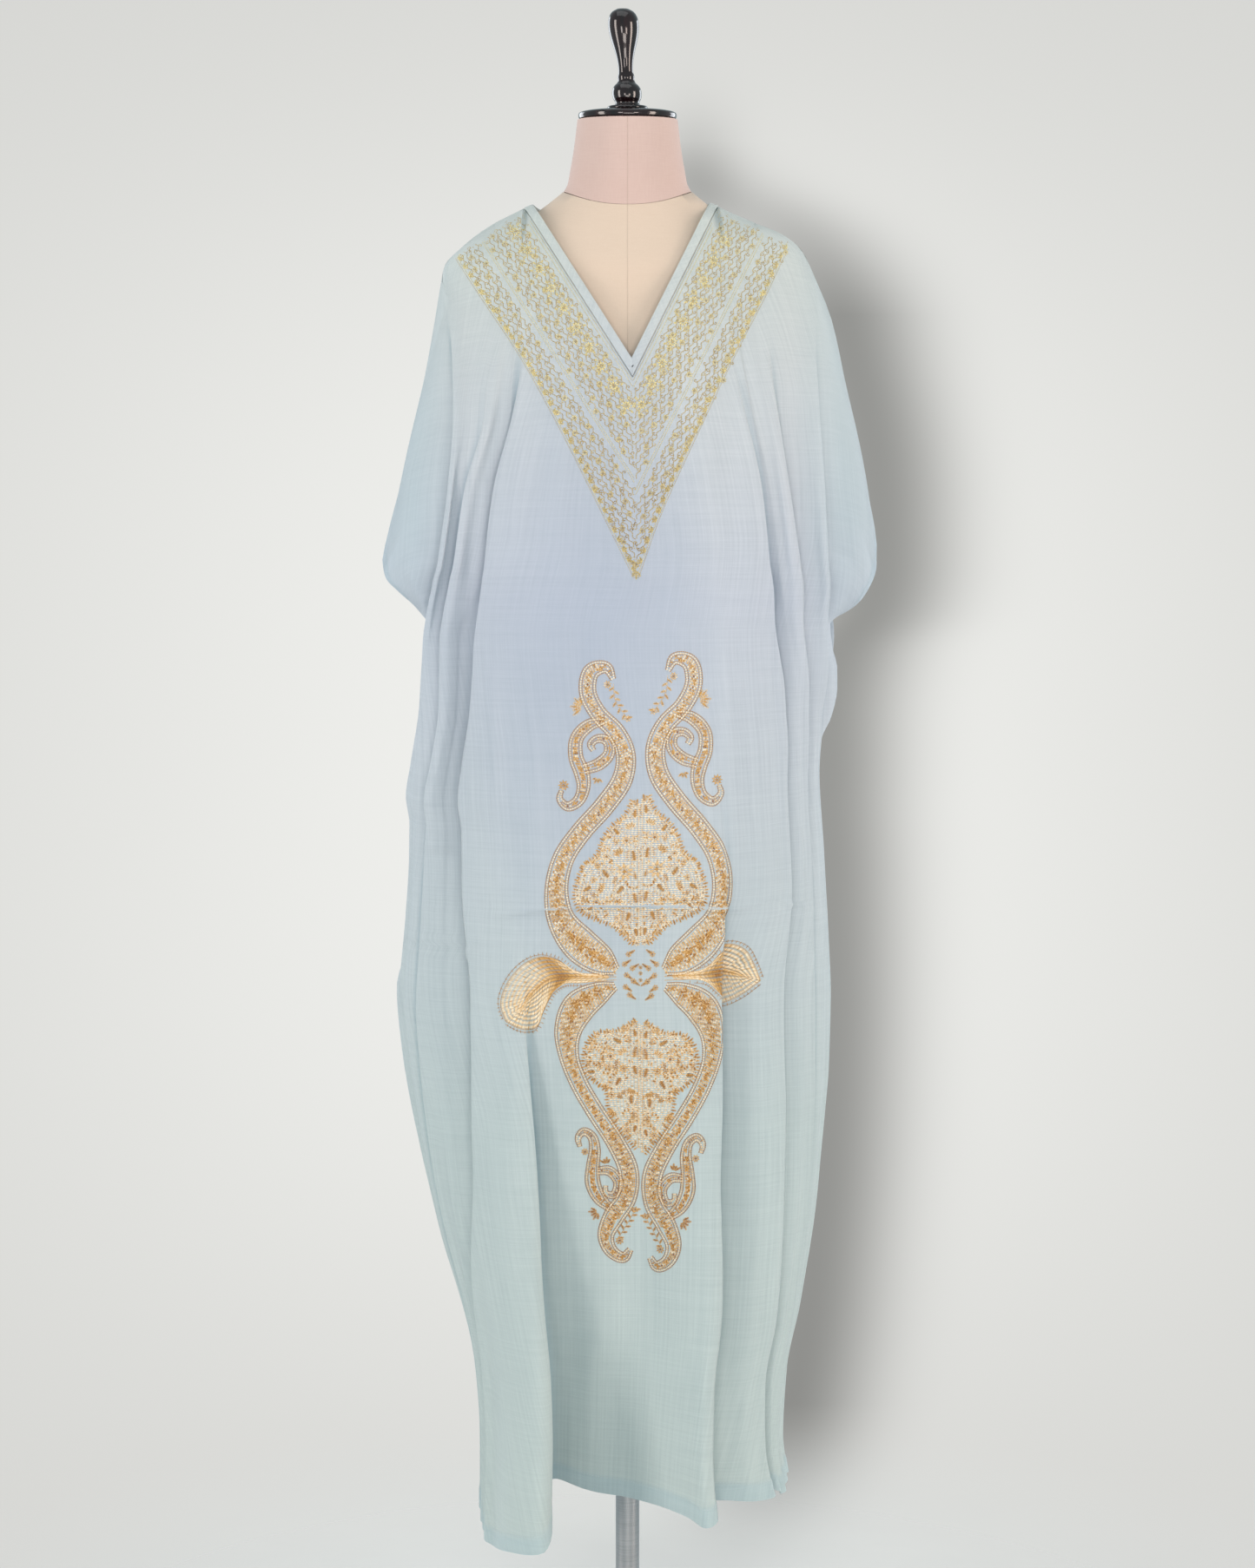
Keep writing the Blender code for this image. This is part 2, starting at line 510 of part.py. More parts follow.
def grid_normals(grid, facing):
    """Outward unit normals; along the shoulder and side seams they stay in the seam's plane."""
    normals = np.cross(np.gradient(grid, axis=1), np.gradient(grid, axis=0)) * -facing
    normals /= np.linalg.norm(normals, axis=2, keepdims=True)
    on_seam = np.abs(grid[:, :, 1] - SEAM_Y) < SEAM_GAP
    normals[on_seam, 1] = 0
    return normals / np.linalg.norm(normals, axis=2, keepdims=True)


def material(name, colour, roughness, metallic=0.0):
    made = bpy.data.materials.new(name)
    made.use_nodes = True
    shader = made.node_tree.nodes["Principled BSDF"]
    shader.inputs["Base Color"].default_value = (*colour, 1)
    shader.inputs["Roughness"].default_value = roughness
    shader.inputs["Metallic"].default_value = metallic
    return made


def link(name, body, look, smooth_shading=True):
    """Turn a bmesh in millimetres into one named object."""
    bmesh.ops.scale(body, vec=(MM, MM, MM), verts=body.verts)
    bmesh.ops.triangulate(body, faces=body.faces, quad_method="SHORT_EDGE")
    bmesh.ops.recalc_face_normals(body, faces=body.faces)
    mesh = bpy.data.meshes.new(name)
    body.to_mesh(mesh)
    body.free()
    mesh.materials.append(look)
    if smooth_shading:
        mesh.shade_smooth()
        mesh.set_sharp_from_angle(angle=SHARP_ANGLE)
    made = bpy.data.objects.new(name, mesh)
    bpy.context.scene.collection.objects.link(made)
    return made


def loft(body, rings):
    """Faces between closed rings of points, with a fan over each end."""
    rows = [[body.verts.new(point) for point in ring] for ring in rings]
    for low, high in zip(rows, rows[1:]):
        for k in range(len(low)):
            body.faces.new((low[k - 1], low[k], high[k], high[k - 1]))
    for row, ring in ((rows[0], rings[0]), (rows[-1], rings[-1])):
        middle = np.mean(ring, axis=0)
        tip = body.verts.new((0.0, 0.0, middle[2]))
        for k in range(len(row)):
            body.faces.new((row[k - 1], row[k], tip))


def kaftan_half(name, facing, look):
    """A half of the kaftan: its outer sheet, extruded inward by the cloth's thickness."""
    outer = sheet_grid(facing)
    normals = grid_normals(outer, facing)
    body = bmesh.new()
    inward = body.verts.layers.float_vector.new("inward")
    columns = []
    for line, line_normals in zip(outer, normals):
        columns.append([])
        for point, normal in zip(line, line_normals):
            vertex = body.verts.new(point)
            vertex[inward] = -CLOTH_WALL * normal
            columns[-1].append(vertex)
    sheet = []
    for left, right in zip(columns, columns[1:]):
        for j in range(len(left) - 1):
            sheet.append(body.faces.new((left[j], left[j + 1], right[j + 1], right[j])))
    moved = bmesh.ops.extrude_face_region(body, geom=sheet, use_keep_orig=True)
    for item in moved["geom"]:
        if isinstance(item, bmesh.types.BMVert):
            item.co += item[inward]
    link(name, body, look)
    return outer, normals


def neck_edge(outer, normals):
    """The part of a half's top row that lies along the neckline."""
    x = outer[:, 0, 0]
    on_neck = (x > NECK_POINT_LEFT[0] - 1) & (x < NECK_POINT_RIGHT[0] + 1)
    return outer[on_neck, 0], normals[on_neck, 0]


def mitre(before, after, normal):
    """The way into the neck opening at a corner of its edge, long enough to keep the width."""
    sides = []
    for way in (before, after):
        side = np.cross(normal, way)
        sides.append(side / np.linalg.norm(side))
    middle = sides[0] + sides[1]
    middle /= np.linalg.norm(middle)
    return middle / max(MITRE_LIMIT, float(middle @ sides[0]))


def neck_binding(front, back, look):
    """A bound edge that follows both halves' necklines, one gap away from them."""
    points = np.concatenate([front[0], back[0][::-1][1:-1]])
    normals = np.concatenate([front[1], back[1][::-1][1:-1]])
    points[[0, len(front[0]) - 1], 1] = SEAM_Y
    count = len(points)
    ways = np.roll(points, -1, axis=0) - points
    inward = np.array([mitre(ways[i - 1], ways[i], normals[i]) for i in range(count)])
    body = bmesh.new()
    far_edge = BINDING_GAP + BINDING_WIDTH
    section = ((BINDING_GAP, BINDING_RISE), (BINDING_GAP, -BINDING_DEPTH),
               (far_edge, -BINDING_DEPTH), (far_edge, BINDING_RISE))
    loops = []
    for reach, rise in section:
        loops.append([body.verts.new(point) for point in points + reach * inward + rise * normals])
    for k in range(len(loops)):
        near, far = loops[k - 1], loops[k]
        for i in range(count):
            body.faces.new((near[i - 1], near[i], far[i], far[i - 1]))
    link("neck_binding", body, look)


def turned(name, profile, look, sides=40, floor=0.0, lean=0.0, upright=0.0):
    """A solid turned from a profile of (radius, height) rows, lifted to floor.

    Above the upright height it leans sideways by lean for each unit of height.
    """
    body = bmesh.new()
    points = [(0.0, profile[0][1])] + list(profile) + [(0.0, profile[-1][1])]
    chain = [body.verts.new((radius, 0.0, height)) for radius, height in points]
    edges = [body.edges.new(pair) for pair in zip(chain, chain[1:])]
    bmesh.ops.spin(body, geom=chain + edges, axis=(0, 0, 1), cent=(0, 0, 0), steps=sides,
                   angle=2 * math.pi, use_merge=True)
    bmesh.ops.remove_doubles(body, verts=body.verts, dist=MERGE_DISTANCE)
    for vertex in body.verts:
        vertex.co.x += lean * max(0.0, vertex.co.z - upright)
        vertex.co.z += floor
    link(name, body, look)


def near_seam(z):
    """How strongly a ring follows the dip of the neck seam."""
    return max(0.0, 1 - abs(z - NECK_SEAM_Z) / SEAM_DIP_REACH)


def form_body(name, sections, look, sides=40):
    """A smooth body through the form's sections; the rows near the neck seam dip in front."""
    level, *columns = np.array(sections, float).T
    levels = []
    for low, high in zip(level, level[1:]):
        count = max(1, round((high - low) / LOFT_STEP))
        levels += [low + (high - low) * k / count for k in range(count)]
    levels.append(level[-1])
    rings = []
    for z in levels:
        width, front, back = (float(smooth(level, column, z)) for column in columns)
        ring = []
        for k in range(sides):
            angle = 2 * math.pi * k / sides
            across, along = math.cos(angle), math.sin(angle)
            x = width * math.copysign(abs(across) ** FORM_SQUARENESS, across)
            y = (front if along < 0 else back) * math.copysign(abs(along) ** FORM_SQUARENESS, along)
            rise = NECK_SEAM_DIP * math.cos(2 * angle) * near_seam(z)
            ring.append((x, y, z + rise))
        rings.append(ring)
    body = bmesh.new()
    loft(body, rings)
    link(name, body, look)


def build():
    for old in list(bpy.data.objects):
        bpy.data.objects.remove(old, do_unlink=True)
    cloth = material("kaftan_cloth", (0.60, 0.70, 0.74), 0.85)
    bound = material("binding_cloth", (0.55, 0.66, 0.70), 0.8)
    linen = material("form_linen", (0.84, 0.74, 0.62), 0.8)
    blush = material("neck_linen", (0.80, 0.66, 0.60), 0.8)
    lacquer = material("black_lacquer", (0.012, 0.008, 0.010), 0.12)
    steel = material("pole_steel", (0.62, 0.62, 0.63), 0.28, 1.0)
    front = kaftan_half("kaftan_front", FRONT, cloth)
    back = kaftan_half("kaftan_back", BACK, cloth)
    neck_binding(neck_edge(*front), neck_edge(*back), bound)
    form_body("form_torso", FORM_SECTIONS, linen)
    form_body("form_neck", NECK_SECTIONS, blush)
    cap_floor = NECK_SECTIONS[-1][0] + PIECE_GAP
    turned("neck_cap", CAP_PROFILE, lacquer, floor=cap_floor)
    turned("finial", KNOB_PROFILE, lacquer, sides=28, floor=cap_floor, lean=KNOB_LEAN,
           upright=KNOB_PROFILE[2][1])
    pole = ((POLE_RADIUS, BASE_PROFILE[-1][1] + PIECE_GAP), (POLE_RADIUS, FORM_SECTIONS[0][0] - PIECE_GAP))
    turned("stand_pole", pole, steel, sides=24)
    turned("stand_base", BASE_PROFILE, lacquer, sides=56)


build()
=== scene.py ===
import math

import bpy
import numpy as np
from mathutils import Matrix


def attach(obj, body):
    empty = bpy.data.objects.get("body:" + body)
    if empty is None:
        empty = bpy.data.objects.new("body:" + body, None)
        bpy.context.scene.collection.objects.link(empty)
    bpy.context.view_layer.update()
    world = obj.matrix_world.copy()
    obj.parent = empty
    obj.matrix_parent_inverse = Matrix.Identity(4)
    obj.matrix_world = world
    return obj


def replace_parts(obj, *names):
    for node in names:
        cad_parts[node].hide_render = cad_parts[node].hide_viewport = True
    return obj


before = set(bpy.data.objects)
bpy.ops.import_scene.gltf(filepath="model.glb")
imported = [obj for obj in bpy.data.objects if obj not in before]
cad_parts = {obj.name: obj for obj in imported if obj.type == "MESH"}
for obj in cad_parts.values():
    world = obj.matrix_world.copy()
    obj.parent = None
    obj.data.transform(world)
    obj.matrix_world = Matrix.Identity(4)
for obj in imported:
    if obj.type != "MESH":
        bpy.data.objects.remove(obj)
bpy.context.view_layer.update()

# Dresses a kaftan that hangs on a limbless dress form: fine cloth over the solids' form, its pressed
# creases, hems and bound neck, the thread work of the yoke and the medallion, the linen form and its
# lacquered fittings. Tables are in millimetres, the scene in metres, Z up, the front faces -Y.

MM = 0.001
# Sizes in millimetres: the gap between front and back at the seams, and the seams' plane
SEAM_GAP = 0.3
SEAM_Y = 8.0
# The cuff's opening: its top, the underarm, and how far its front and back edges bow from the seam
CUFF_TOP_Z = 1204.0
ARM_Z = 1140.0
CUFF_OPEN_FRONT = 50.0
CUFF_OPEN_BACK = 34.0
CUFF_BOW = 0.8
# The hem's level, and where the rows start to follow each column's own hem
HEM_Z = 232.0
HEM_BLEND_Z = 440.0
# The neckline: its two corners on the shoulders, the point of the V, and how the back dips
NECK_POINT_LEFT = (-105.5, 1561.7)
NECK_POINT_RIGHT = (92.5, 1563.8)
NECK_V = (5.0, 1389.0)
BACK_NECK_DROP = 17.0
BACK_NECK_BOW = 0.7
# The pole, the gap between pieces that meet, the form's neck seam and its dip, and the knob's lean
POLE_RADIUS = 12.5
PIECE_GAP = 0.3
NECK_SEAM_Z = 1570.5
NECK_SEAM_DIP = 7.5
KNOB_LEAN = -0.05

# How far a pleat's columns lie from its ridge where it is still flat, toward its drop side
FLAT_SHIFT = {"crest": -7.0, "edge": 0.0, "tuck": 6.0, "valley": 13.0}
# The folded pleat: how far its columns lie across from the ridge, less the tuck, and how deep
FOLD_ACROSS = {"crest": -7.0, "edge": 0.5, "tuck": 0.0, "valley": 5.0}
FOLD_DEPTH = {"crest": 0.0, "edge": 0.25, "tuck": 0.8, "valley": 1.0}
# A pleat shallower than the first overlaps nothing, and one deeper than the second has its whole tuck
OPEN_STEP = 7.0
FULL_STEP = 13.0
# How a pleat's fall is shared when its hem runs from the crest's level to the valley's
HEM_SHARE = {"crest": 0.0, "edge": 0.25, "tuck": 0.8, "valley": 1.0}
FLAT_BELOW_STEP = 6.0
# Height over which a column eases from the top edge into its own place
TOP_BLEND = 70.0
# How far under the shoulder seam the cloth is drawn in to it, and how much of the way the neck's
# corners are, under their binding
SEAM_BLEND = 14.0
CORNER_DRAW = 0.45
# Points that the top outline is measured with on each side
OUTLINE_POINTS = 90
# Extra rise of the hem from the last pleat to the side seam
SEAM_HEM_RISE = 3.0
# How square the dress form's rings are, and how far from the neck seam they still follow its dip
FORM_SQUARENESS = 0.92
SEAM_DIP_REACH = 34.0

# Levels of the rows below the arm, and how the rows above it share each column
LOWER_LEVELS = (1140, 1108, 1070, 1030, 985, 945, 903, 884, 850, 805, 755, 700, 640, 575, 505, 440, 370,
                300, 232)
UPPER_SHARES = (1.0, 0.965, 0.91, 0.84, 0.76, 0.67, 0.57, 0.47, 0.37, 0.27, 0.18, 0.09)
# The same rows on the seam column, where they run down the cuff's edge
CUFF_SHARES = (1.0, 0.985, 0.965, 0.945, 0.92, 0.89, 0.86, 0.82, 0.76, 0.62, 0.42, 0.2)

# Outline of the sleeve and side on each side, as level and distance out from the axis
OUTLINE_LEFT = ((1566, 97), (1542, 144), (1522, 170), (1504, 187), (1491, 190), (1439, 199), (1386, 209),
                (1333, 220), (1279, 234), (1226, 248), (1204, 252), (1170, 241), (1140, 232),
                (1100, 226), (1060, 225), (1000, 233), (965, 238), (935, 233), (900, 233), (840, 236),
                (762, 240), (700, 235), (609, 222), (516, 199), (441, 178), (371, 162), (300, 156),
                (232, 155))
OUTLINE_RIGHT = ((1568, 84), (1553, 115), (1534, 161), (1519, 178), (1491, 192), (1449, 209), (1373, 226),
                 (1271, 248), (1214, 257), (1195, 254), (1140, 232), (1092, 222), (1043, 208), (983, 201),
                 (902, 205), (820, 210), (751, 213), (684, 213), (567, 204), (439, 184), (367, 167),
                 (300, 164), (232, 174))
SEAM_LEFT = ((1204, 252), (1187, 246), (1174, 233), (1159, 217), (1145, 206), (1140, 202), (1101, 202),
             (1065, 206), (1005, 217), (943, 222), (884, 223), (847, 224), (802, 229), (762, 239),
             (701, 234), (655, 228), (609, 220), (516, 196), (441, 173), (371, 157), (300, 150), (232, 149))
SEAM_RIGHT = ((1204, 256), (1195, 254), (1172, 242), (1154, 228), (1145, 214), (1140, 209), (1113, 212),
              (1092, 217), (1070, 217), (1043, 211), (1012, 195), (983, 194), (943, 197), (902, 201),
              (820, 205), (751, 208), (684, 209), (634, 204), (567, 198), (499, 190), (439, 178), (367, 161),
              (316, 158), (232, 164))

# Depth of the front and back from the side seam, and how square each section is
DEPTH_FRONT = ((1570, 60), (1540, 75), (1500, 95), (1450, 118), (1400, 132), (1350, 144), (1300, 150),
               (1200, 151), (1050, 152), (900, 156), (600, 164), (232, 170))
DEPTH_BACK = ((1570, 76), (1555, 85), (1530, 95), (1500, 104), (1450, 113), (1400, 117), (1300, 117),
              (1140, 117), (1000, 124), (800, 137), (600, 146), (232, 150))
SQUARENESS = ((1570, 2.2), (1300, 2.2), (1000, 2.4), (600, 2.7), (232, 3.1))

# Pleats: x at the upper stations, then the share of the way round to the side seam below the arm.
# "drop" is the side that the cloth falls back on: 1 toward the seam, -1 toward the centre.
UPPER_STATIONS = (1566, 1493, 1450, 1350, 1280, 1200)
LOWER_STATIONS = (1110, 1000, 890, 760, 600, 430, 232)
STEP_STATIONS = (1520, 1430, 1350, 1200, 1110, 1000, 903, 884, 760, 600, 430, 232)
FRONT_PLEATS = {
    "sleeve_left": dict(
        drop=1, turn=40, tuck=3,
        x=(-205, -190, -179, -176.5, -181, -192), share=(0.72, 0.795, 0.82, 0.84, 0.86, 0.89, 0.93),
        step=(0, 5, 13, 15, 13, 12, 11, 9, 7, 7, 7, 6), hem=(246, 252)),
    "flap_left": dict(
        drop=1, turn=22, tuck=4,
        x=(-138, -134, -133, -142, -163, -175), share=(0.60, 0.62, 0.66, 0.68, 0.71, 0.78, 0.87),
        step=(0, 2, 5, 10, 12, 12, 9, 7, 6, 7, 7, 6), hem=(200, 214)),
    "panel_left": dict(
        drop=1, turn=12, tuck=7,
        x=(-90, -91, -96, -113, -132, -142), share=(0.45, 0.468, 0.455, 0.394, 0.43, 0.64, 0.76),
        step=(0, 3, 9, 16, 20, 22, 22, 22, 20, 16, 14, 12), hem=(188, 202)),
    "column_left": dict(
        drop=-1, turn=0, tuck=3,
        x=(-60, -60, -62, -72, -80, -88), share=(0.242, 0.248, 0.244, 0.222, 0.196, 0.222, 0.226),
        step=(0, 0, 0, 0, 0, 1, 2, 2, 6, 18, 48, 100), hem=(203, 250)),
    "edge_right": dict(
        drop=1, turn=0, tuck=7,
        x=(50, 50, 52, 60, 66, 74), share=(0.20, 0.24, 0.255, 0.228, 0.225, 0.25, 0.226),
        step=(0, 0, 0, 0, 0, 3, 5, 6, 14, 20, 26, 30), hem=(229, 248)),
    "panel_right": dict(
        drop=1, turn=12, tuck=4,
        x=(74, 80, 90, 117, 133, 143), share=(0.442, 0.55, 0.56, 0.479, 0.493, 0.55, 0.62),
        step=(0, 2, 6, 10, 12, 14, 14, 14, 14, 16, 17, 17), hem=(245, 250)),
    "side_right": dict(
        drop=1, turn=22, tuck=5,
        x=(130, 131, 134, 150, 161, 172), share=(0.56, 0.70, 0.71, 0.67, 0.68, 0.70, 0.75),
        step=(0, 3, 9, 14, 15, 14, 10, 9, 8, 9, 10, 10), hem=(243, 248)),
    "sleeve_right": dict(
        drop=1, turn=40, tuck=4,
        x=(178, 184, 187, 193.5, 199.5, 204), share=(0.70, 0.82, 0.83, 0.83, 0.83, 0.85, 0.87),
        step=(0, 4, 11, 16, 9, 5, 4, 4, 5, 7, 8, 8), hem=(255, 256)),
}
BACK_PLEATS = {
    "back_sleeve_left": dict(
        drop=1, turn=38, tuck=3,
        x=(-200, -181, -176, -180, -186, -194), share=(0.76, 0.78, 0.80, 0.80, 0.80, 0.80, 0.80),
        step=(0, 6, 10, 12, 12, 12, 12, 12, 12, 14, 16, 16), hem=(262, 264)),
    "back_left": dict(
        drop=1, turn=14, tuck=4,
        x=(-78, -84, -92, -110, -124, -134), share=(0.46, 0.46, 0.47, 0.48, 0.48, 0.49, 0.50),
        step=(0, 0, 3, 8, 12, 15, 17, 18, 20, 22, 26, 30), hem=(264, 268)),
    "back_inner": dict(
        drop=-1, turn=0, tuck=2,
        x=(-38, -38, -38, -40, -42, -46), share=(0.15, 0.15, 0.15, 0.15, 0.16, 0.17, 0.18),
        step=(0, 0, 0, 2, 5, 8, 10, 11, 16, 22, 28, 34), hem=(262, 270)),
    "back_middle": dict(
        drop=1, turn=4, tuck=4,
        x=(22, 26, 32, 40, 46, 50), share=(0.17, 0.17, 0.18, 0.18, 0.17, 0.17, 0.16),
        step=(0, 0, 0, 3, 6, 9, 12, 13, 18, 22, 24, 28), hem=(262, 269)),
    "back_right": dict(
        drop=1, turn=16, tuck=5,
        x=(62, 78, 92, 112, 128, 140), share=(0.47, 0.48, 0.49, 0.50, 0.51, 0.51, 0.52),
        step=(0, 0, 4, 9, 13, 16, 18, 18, 20, 20, 24, 26), hem=(265, 268)),
    "back_sleeve_right": dict(
        drop=1, turn=38, tuck=3,
        x=(180, 182, 184, 190, 196, 200), share=(0.80, 0.82, 0.82, 0.80, 0.80, 0.80, 0.80),
        step=(0, 5, 9, 12, 12, 12, 12, 12, 12, 14, 16, 16), hem=(262, 264)),
}

# Columns between pleats: the two neighbours, the weight of the second, and how far the cloth has
# fallen back, as shares of the first and second neighbours' steps
FRONT_BETWEEN = (
    ("flap_middle", "sleeve_left", "flap_left", 0.5, 0.0, 0.45),
    ("neck_left", "flap_left", "panel_left", 0.52, 0.0, 0.5),
    ("collar_left", "flap_left", "panel_left", 0.66, 0.0, 0.7),
    ("panel_side", "panel_left", "column_left", 0.5, 0.0, 0.0),
    ("recess_left", "column_left", "edge_right", 0.28, 0.92, 0.0),
    ("neck_v", "column_left", "edge_right", 0.52, 0.70, 0.0),
    ("recess_right", "column_left", "edge_right", 0.77, 0.26, 0.0),
    ("strip_right", "edge_right", "panel_right", 0.52, 0.45, 0.0),
    ("collar_right", "panel_right", "side_right", 0.36, 0.6, 0.0),
    ("neck_right", "panel_right", "side_right", 0.5, 0.45, 0.0),
    ("side_strip", "side_right", "sleeve_right", 0.5, 0.45, 0.0),
)
BACK_BETWEEN = (
    ("blade_left", "back_sleeve_left", "back_left", 0.3, 0.0, 0.2),
    ("shoulder_left", "back_sleeve_left", "back_left", 0.48, 0.0, 0.5),
    ("neck_left", "back_sleeve_left", "back_left", 0.66, 0.0, 0.75),
    ("collar_left", "back_sleeve_left", "back_left", 0.8, 0.0, 0.9),
    ("neck_back_left", "back_left", "back_inner", 0.5, 0.0, 0.0),
    ("spine", "back_inner", "back_middle", 0.5, 0.6, 0.0),
    ("neck_back_right", "back_middle", "back_right", 0.5, 0.5, 0.0),
    ("collar_right", "back_right", "back_sleeve_right", 0.2, 0.8, 0.0),
    ("neck_right", "back_right", "back_sleeve_right", 0.35, 0.6, 0.0),
    ("shoulder_right", "back_right", "back_sleeve_right", 0.54, 0.45, 0.0),
    ("blade_right", "back_right", "back_sleeve_right", 0.74, 0.3, 0.0),
)
# Columns that start at a corner of the neckline or just inside one: their x at the upper stations
CORNERS = {
    "neck_left": (-105.7, -112, -116, -129, -147, -159),
    "collar_left": (-101.5, -107.5, -110, -122, -139, -150),
    "neck_v": (5, 5, 5, 5, 5, 5),
    "collar_right": (88.5, 99.5, 108, 127, 142, 152),
    "neck_right": (92.7, 106, 114, 134, 148, 159),
}
# How far along the neckline the collar columns start from its left and right corners
COLLAR_INSET = 5.0
# Sleeve columns outside the last pleat: the level of the top of each, and its share of the way round
# to the seam at the stations
SLEEVE_STATIONS = (1480, 1400, 1300, 1204, 1140, 232)
SLEEVE_COLUMNS = ((1300, (1.9, 1.4, 1.0, 0.66, 0.66, 0.66)), (1400, (1.3, 1.0, 0.62, 0.34, 0.34, 0.34)))

# Dress form sections: level, half width, depth in front of the axis, depth behind it
FORM_SECTIONS = ((800, 122, 88, 98), (808, 138, 102, 110), (830, 146, 110, 116), (900, 150, 112, 118),
                 (1000, 138, 104, 108), (1110, 120, 96, 94), (1200, 131, 108, 98), (1290, 150, 126, 105),
                 (1345, 158, 129, 108), (1400, 168, 115, 110), (1450, 175, 99, 106), (1485, 174, 86, 98),
                 (1505, 168, 79, 94), (1520, 153, 71, 89), (1535, 127, 63, 84), (1550, 98, 57, 78),
                 (1562, 78, 52, 74), (1570, 66, 49, 71))
NECK_SECTIONS = ((1570.4, 65, 49, 71), (1580, 61, 49, 69), (1600, 58, 51, 62), (1625, 54, 51, 53),
                 (1650, 51, 50, 50))
# Turned knob above the neck: radius and height over the cap's underside
CAP_PROFILE = ((46, 0), (49, 0.8), (50, 3.5), (49.4, 6.4), (46, 8), (34, 9.2), (21, 10.2))
KNOB_PROFILE = ((20, 10.6), (20.5, 12), (19.5, 13.6), (13, 15), (12.2, 17), (14.2, 21), (15, 26),
                (14.2, 31), (12, 34.5), (9.4, 37), (8.4, 40), (8.6, 43), (7.6, 47), (7.5, 52), (8.4, 60),
                (10.4, 69), (13, 78), (15, 87), (15.6, 95), (14.6, 102), (11.4, 107.5), (6, 110.8))
# Weighted base and its hub: radius and height over the floor
BASE_PROFILE = ((171, 0), (175, 4), (175, 12), (169, 18), (30, 21), (24, 48), (20, 52))

# The way each half faces along y, and how far the binding's mitre is kept from a spike
FRONT = -1
BACK = 1
MITRE_LIMIT = 0.55


def smooth(stations, values, at):
    """Read a table as a smooth curve that never overshoots its own values."""
    order = np.argsort(stations)
    x = np.asarray(stations, float)[order]
    y = np.asarray(values, float)[order]
    gap = np.diff(x)
    slope = np.diff(y) / gap
    tangent = np.zeros(len(x))
    tangent[0] = slope[0]
    tangent[-1] = slope[-1]
    for i in range(1, len(x) - 1):
        before, after = slope[i - 1], slope[i]
        if before * after > 0:
            tangent[i] = 2 * before * after / (before + after)
    at = np.clip(np.asarray(at, float), x[0], x[-1])
    cell = np.clip(np.searchsorted(x, at, side="right") - 1, 0, len(x) - 2)
    t = (at - x[cell]) / gap[cell]
    rise = y[cell + 1] - y[cell]
    start = tangent[cell] * gap[cell]
    end = tangent[cell + 1] * gap[cell]
    return y[cell] + t * start + t * t * (3 * rise - 2 * start - end) + t ** 3 * (start + end - 2 * rise)


def curve(table, at):
    """Read a table of (level, value) rows at the given levels."""
    rows = np.array(table, float)
    return smooth(rows[:, 0], rows[:, 1], at)


def side_of(x):
    return -1 if x < 0 else 1


def unit(vectors):
    """The same vectors at length one."""
    return vectors / (np.linalg.norm(vectors, axis=-1, keepdims=True) + 1e-9)


def run_along(line):
    """The length so far at each point of a line, or of a row of lines side by side."""
    steps = np.cumsum(np.linalg.norm(np.diff(line, axis=0), axis=-1), axis=0)
    return np.concatenate([np.zeros_like(steps[:1]), steps])


def on_line(line, run, at):
    """The places on a line at the given lengths along it."""
    return np.stack([np.interp(at, run, part) for part in line.T], axis=-1)


def bell(away, width):
    """1 where away is 0, falling off over the width."""
    return np.exp(-((away / width) ** 2))


def heading(angle):
    """The direction of an angle in radians."""
    return np.array([math.cos(angle), math.sin(angle)])


def half_width(side, z):
    return curve(OUTLINE_LEFT if side < 0 else OUTLINE_RIGHT, z)


def half_depth(facing, z):
    return curve(DEPTH_FRONT if facing < 0 else DEPTH_BACK, z)


def seam_y(facing):
    """Where a half's edge lies at the seams."""
    return SEAM_Y + facing * SEAM_GAP / 2


def girth_point(side, facing, share, z):
    """A point of the plain section: share 0 is the centre line and 1 the side seam."""
    angle = np.clip(share, -1, 1) * math.pi / 2
    power = 2 / curve(SQUARENESS, z)
    out = np.sign(angle) * np.abs(np.sin(angle)) ** power
    return side * half_width(side, z) * out, SEAM_Y + facing * half_depth(facing, z) * np.cos(angle) ** power


def share_at(side, x, z):
    """The share round the section at which it is x from the axis."""
    ratio = np.clip(side * x / half_width(side, z), -1, 1)
    lean = np.abs(ratio) ** (curve(SQUARENESS, z) / 2)
    return np.sign(ratio) * np.arcsin(lean) / (math.pi / 2)


def quarter_length(side, facing, z):
    return math.pi / 2 * np.hypot(half_width(side, z), half_depth(facing, z)) / math.sqrt(2)


def column_share(side, upper_x, lower_share, z):
    """The share of a column at each level, from its x above the arm and its shares below it."""
    upper = share_at(side, smooth(UPPER_STATIONS, upper_x, z), z)
    joint = share_at(side, np.array(upper_x[-1:], float), np.array(UPPER_STATIONS[-1:], float))[0]
    lower = smooth((UPPER_STATIONS[-1],) + LOWER_STATIONS, (joint,) + tuple(lower_share), z)
    return np.where(z > UPPER_STATIONS[-1], upper, lower)


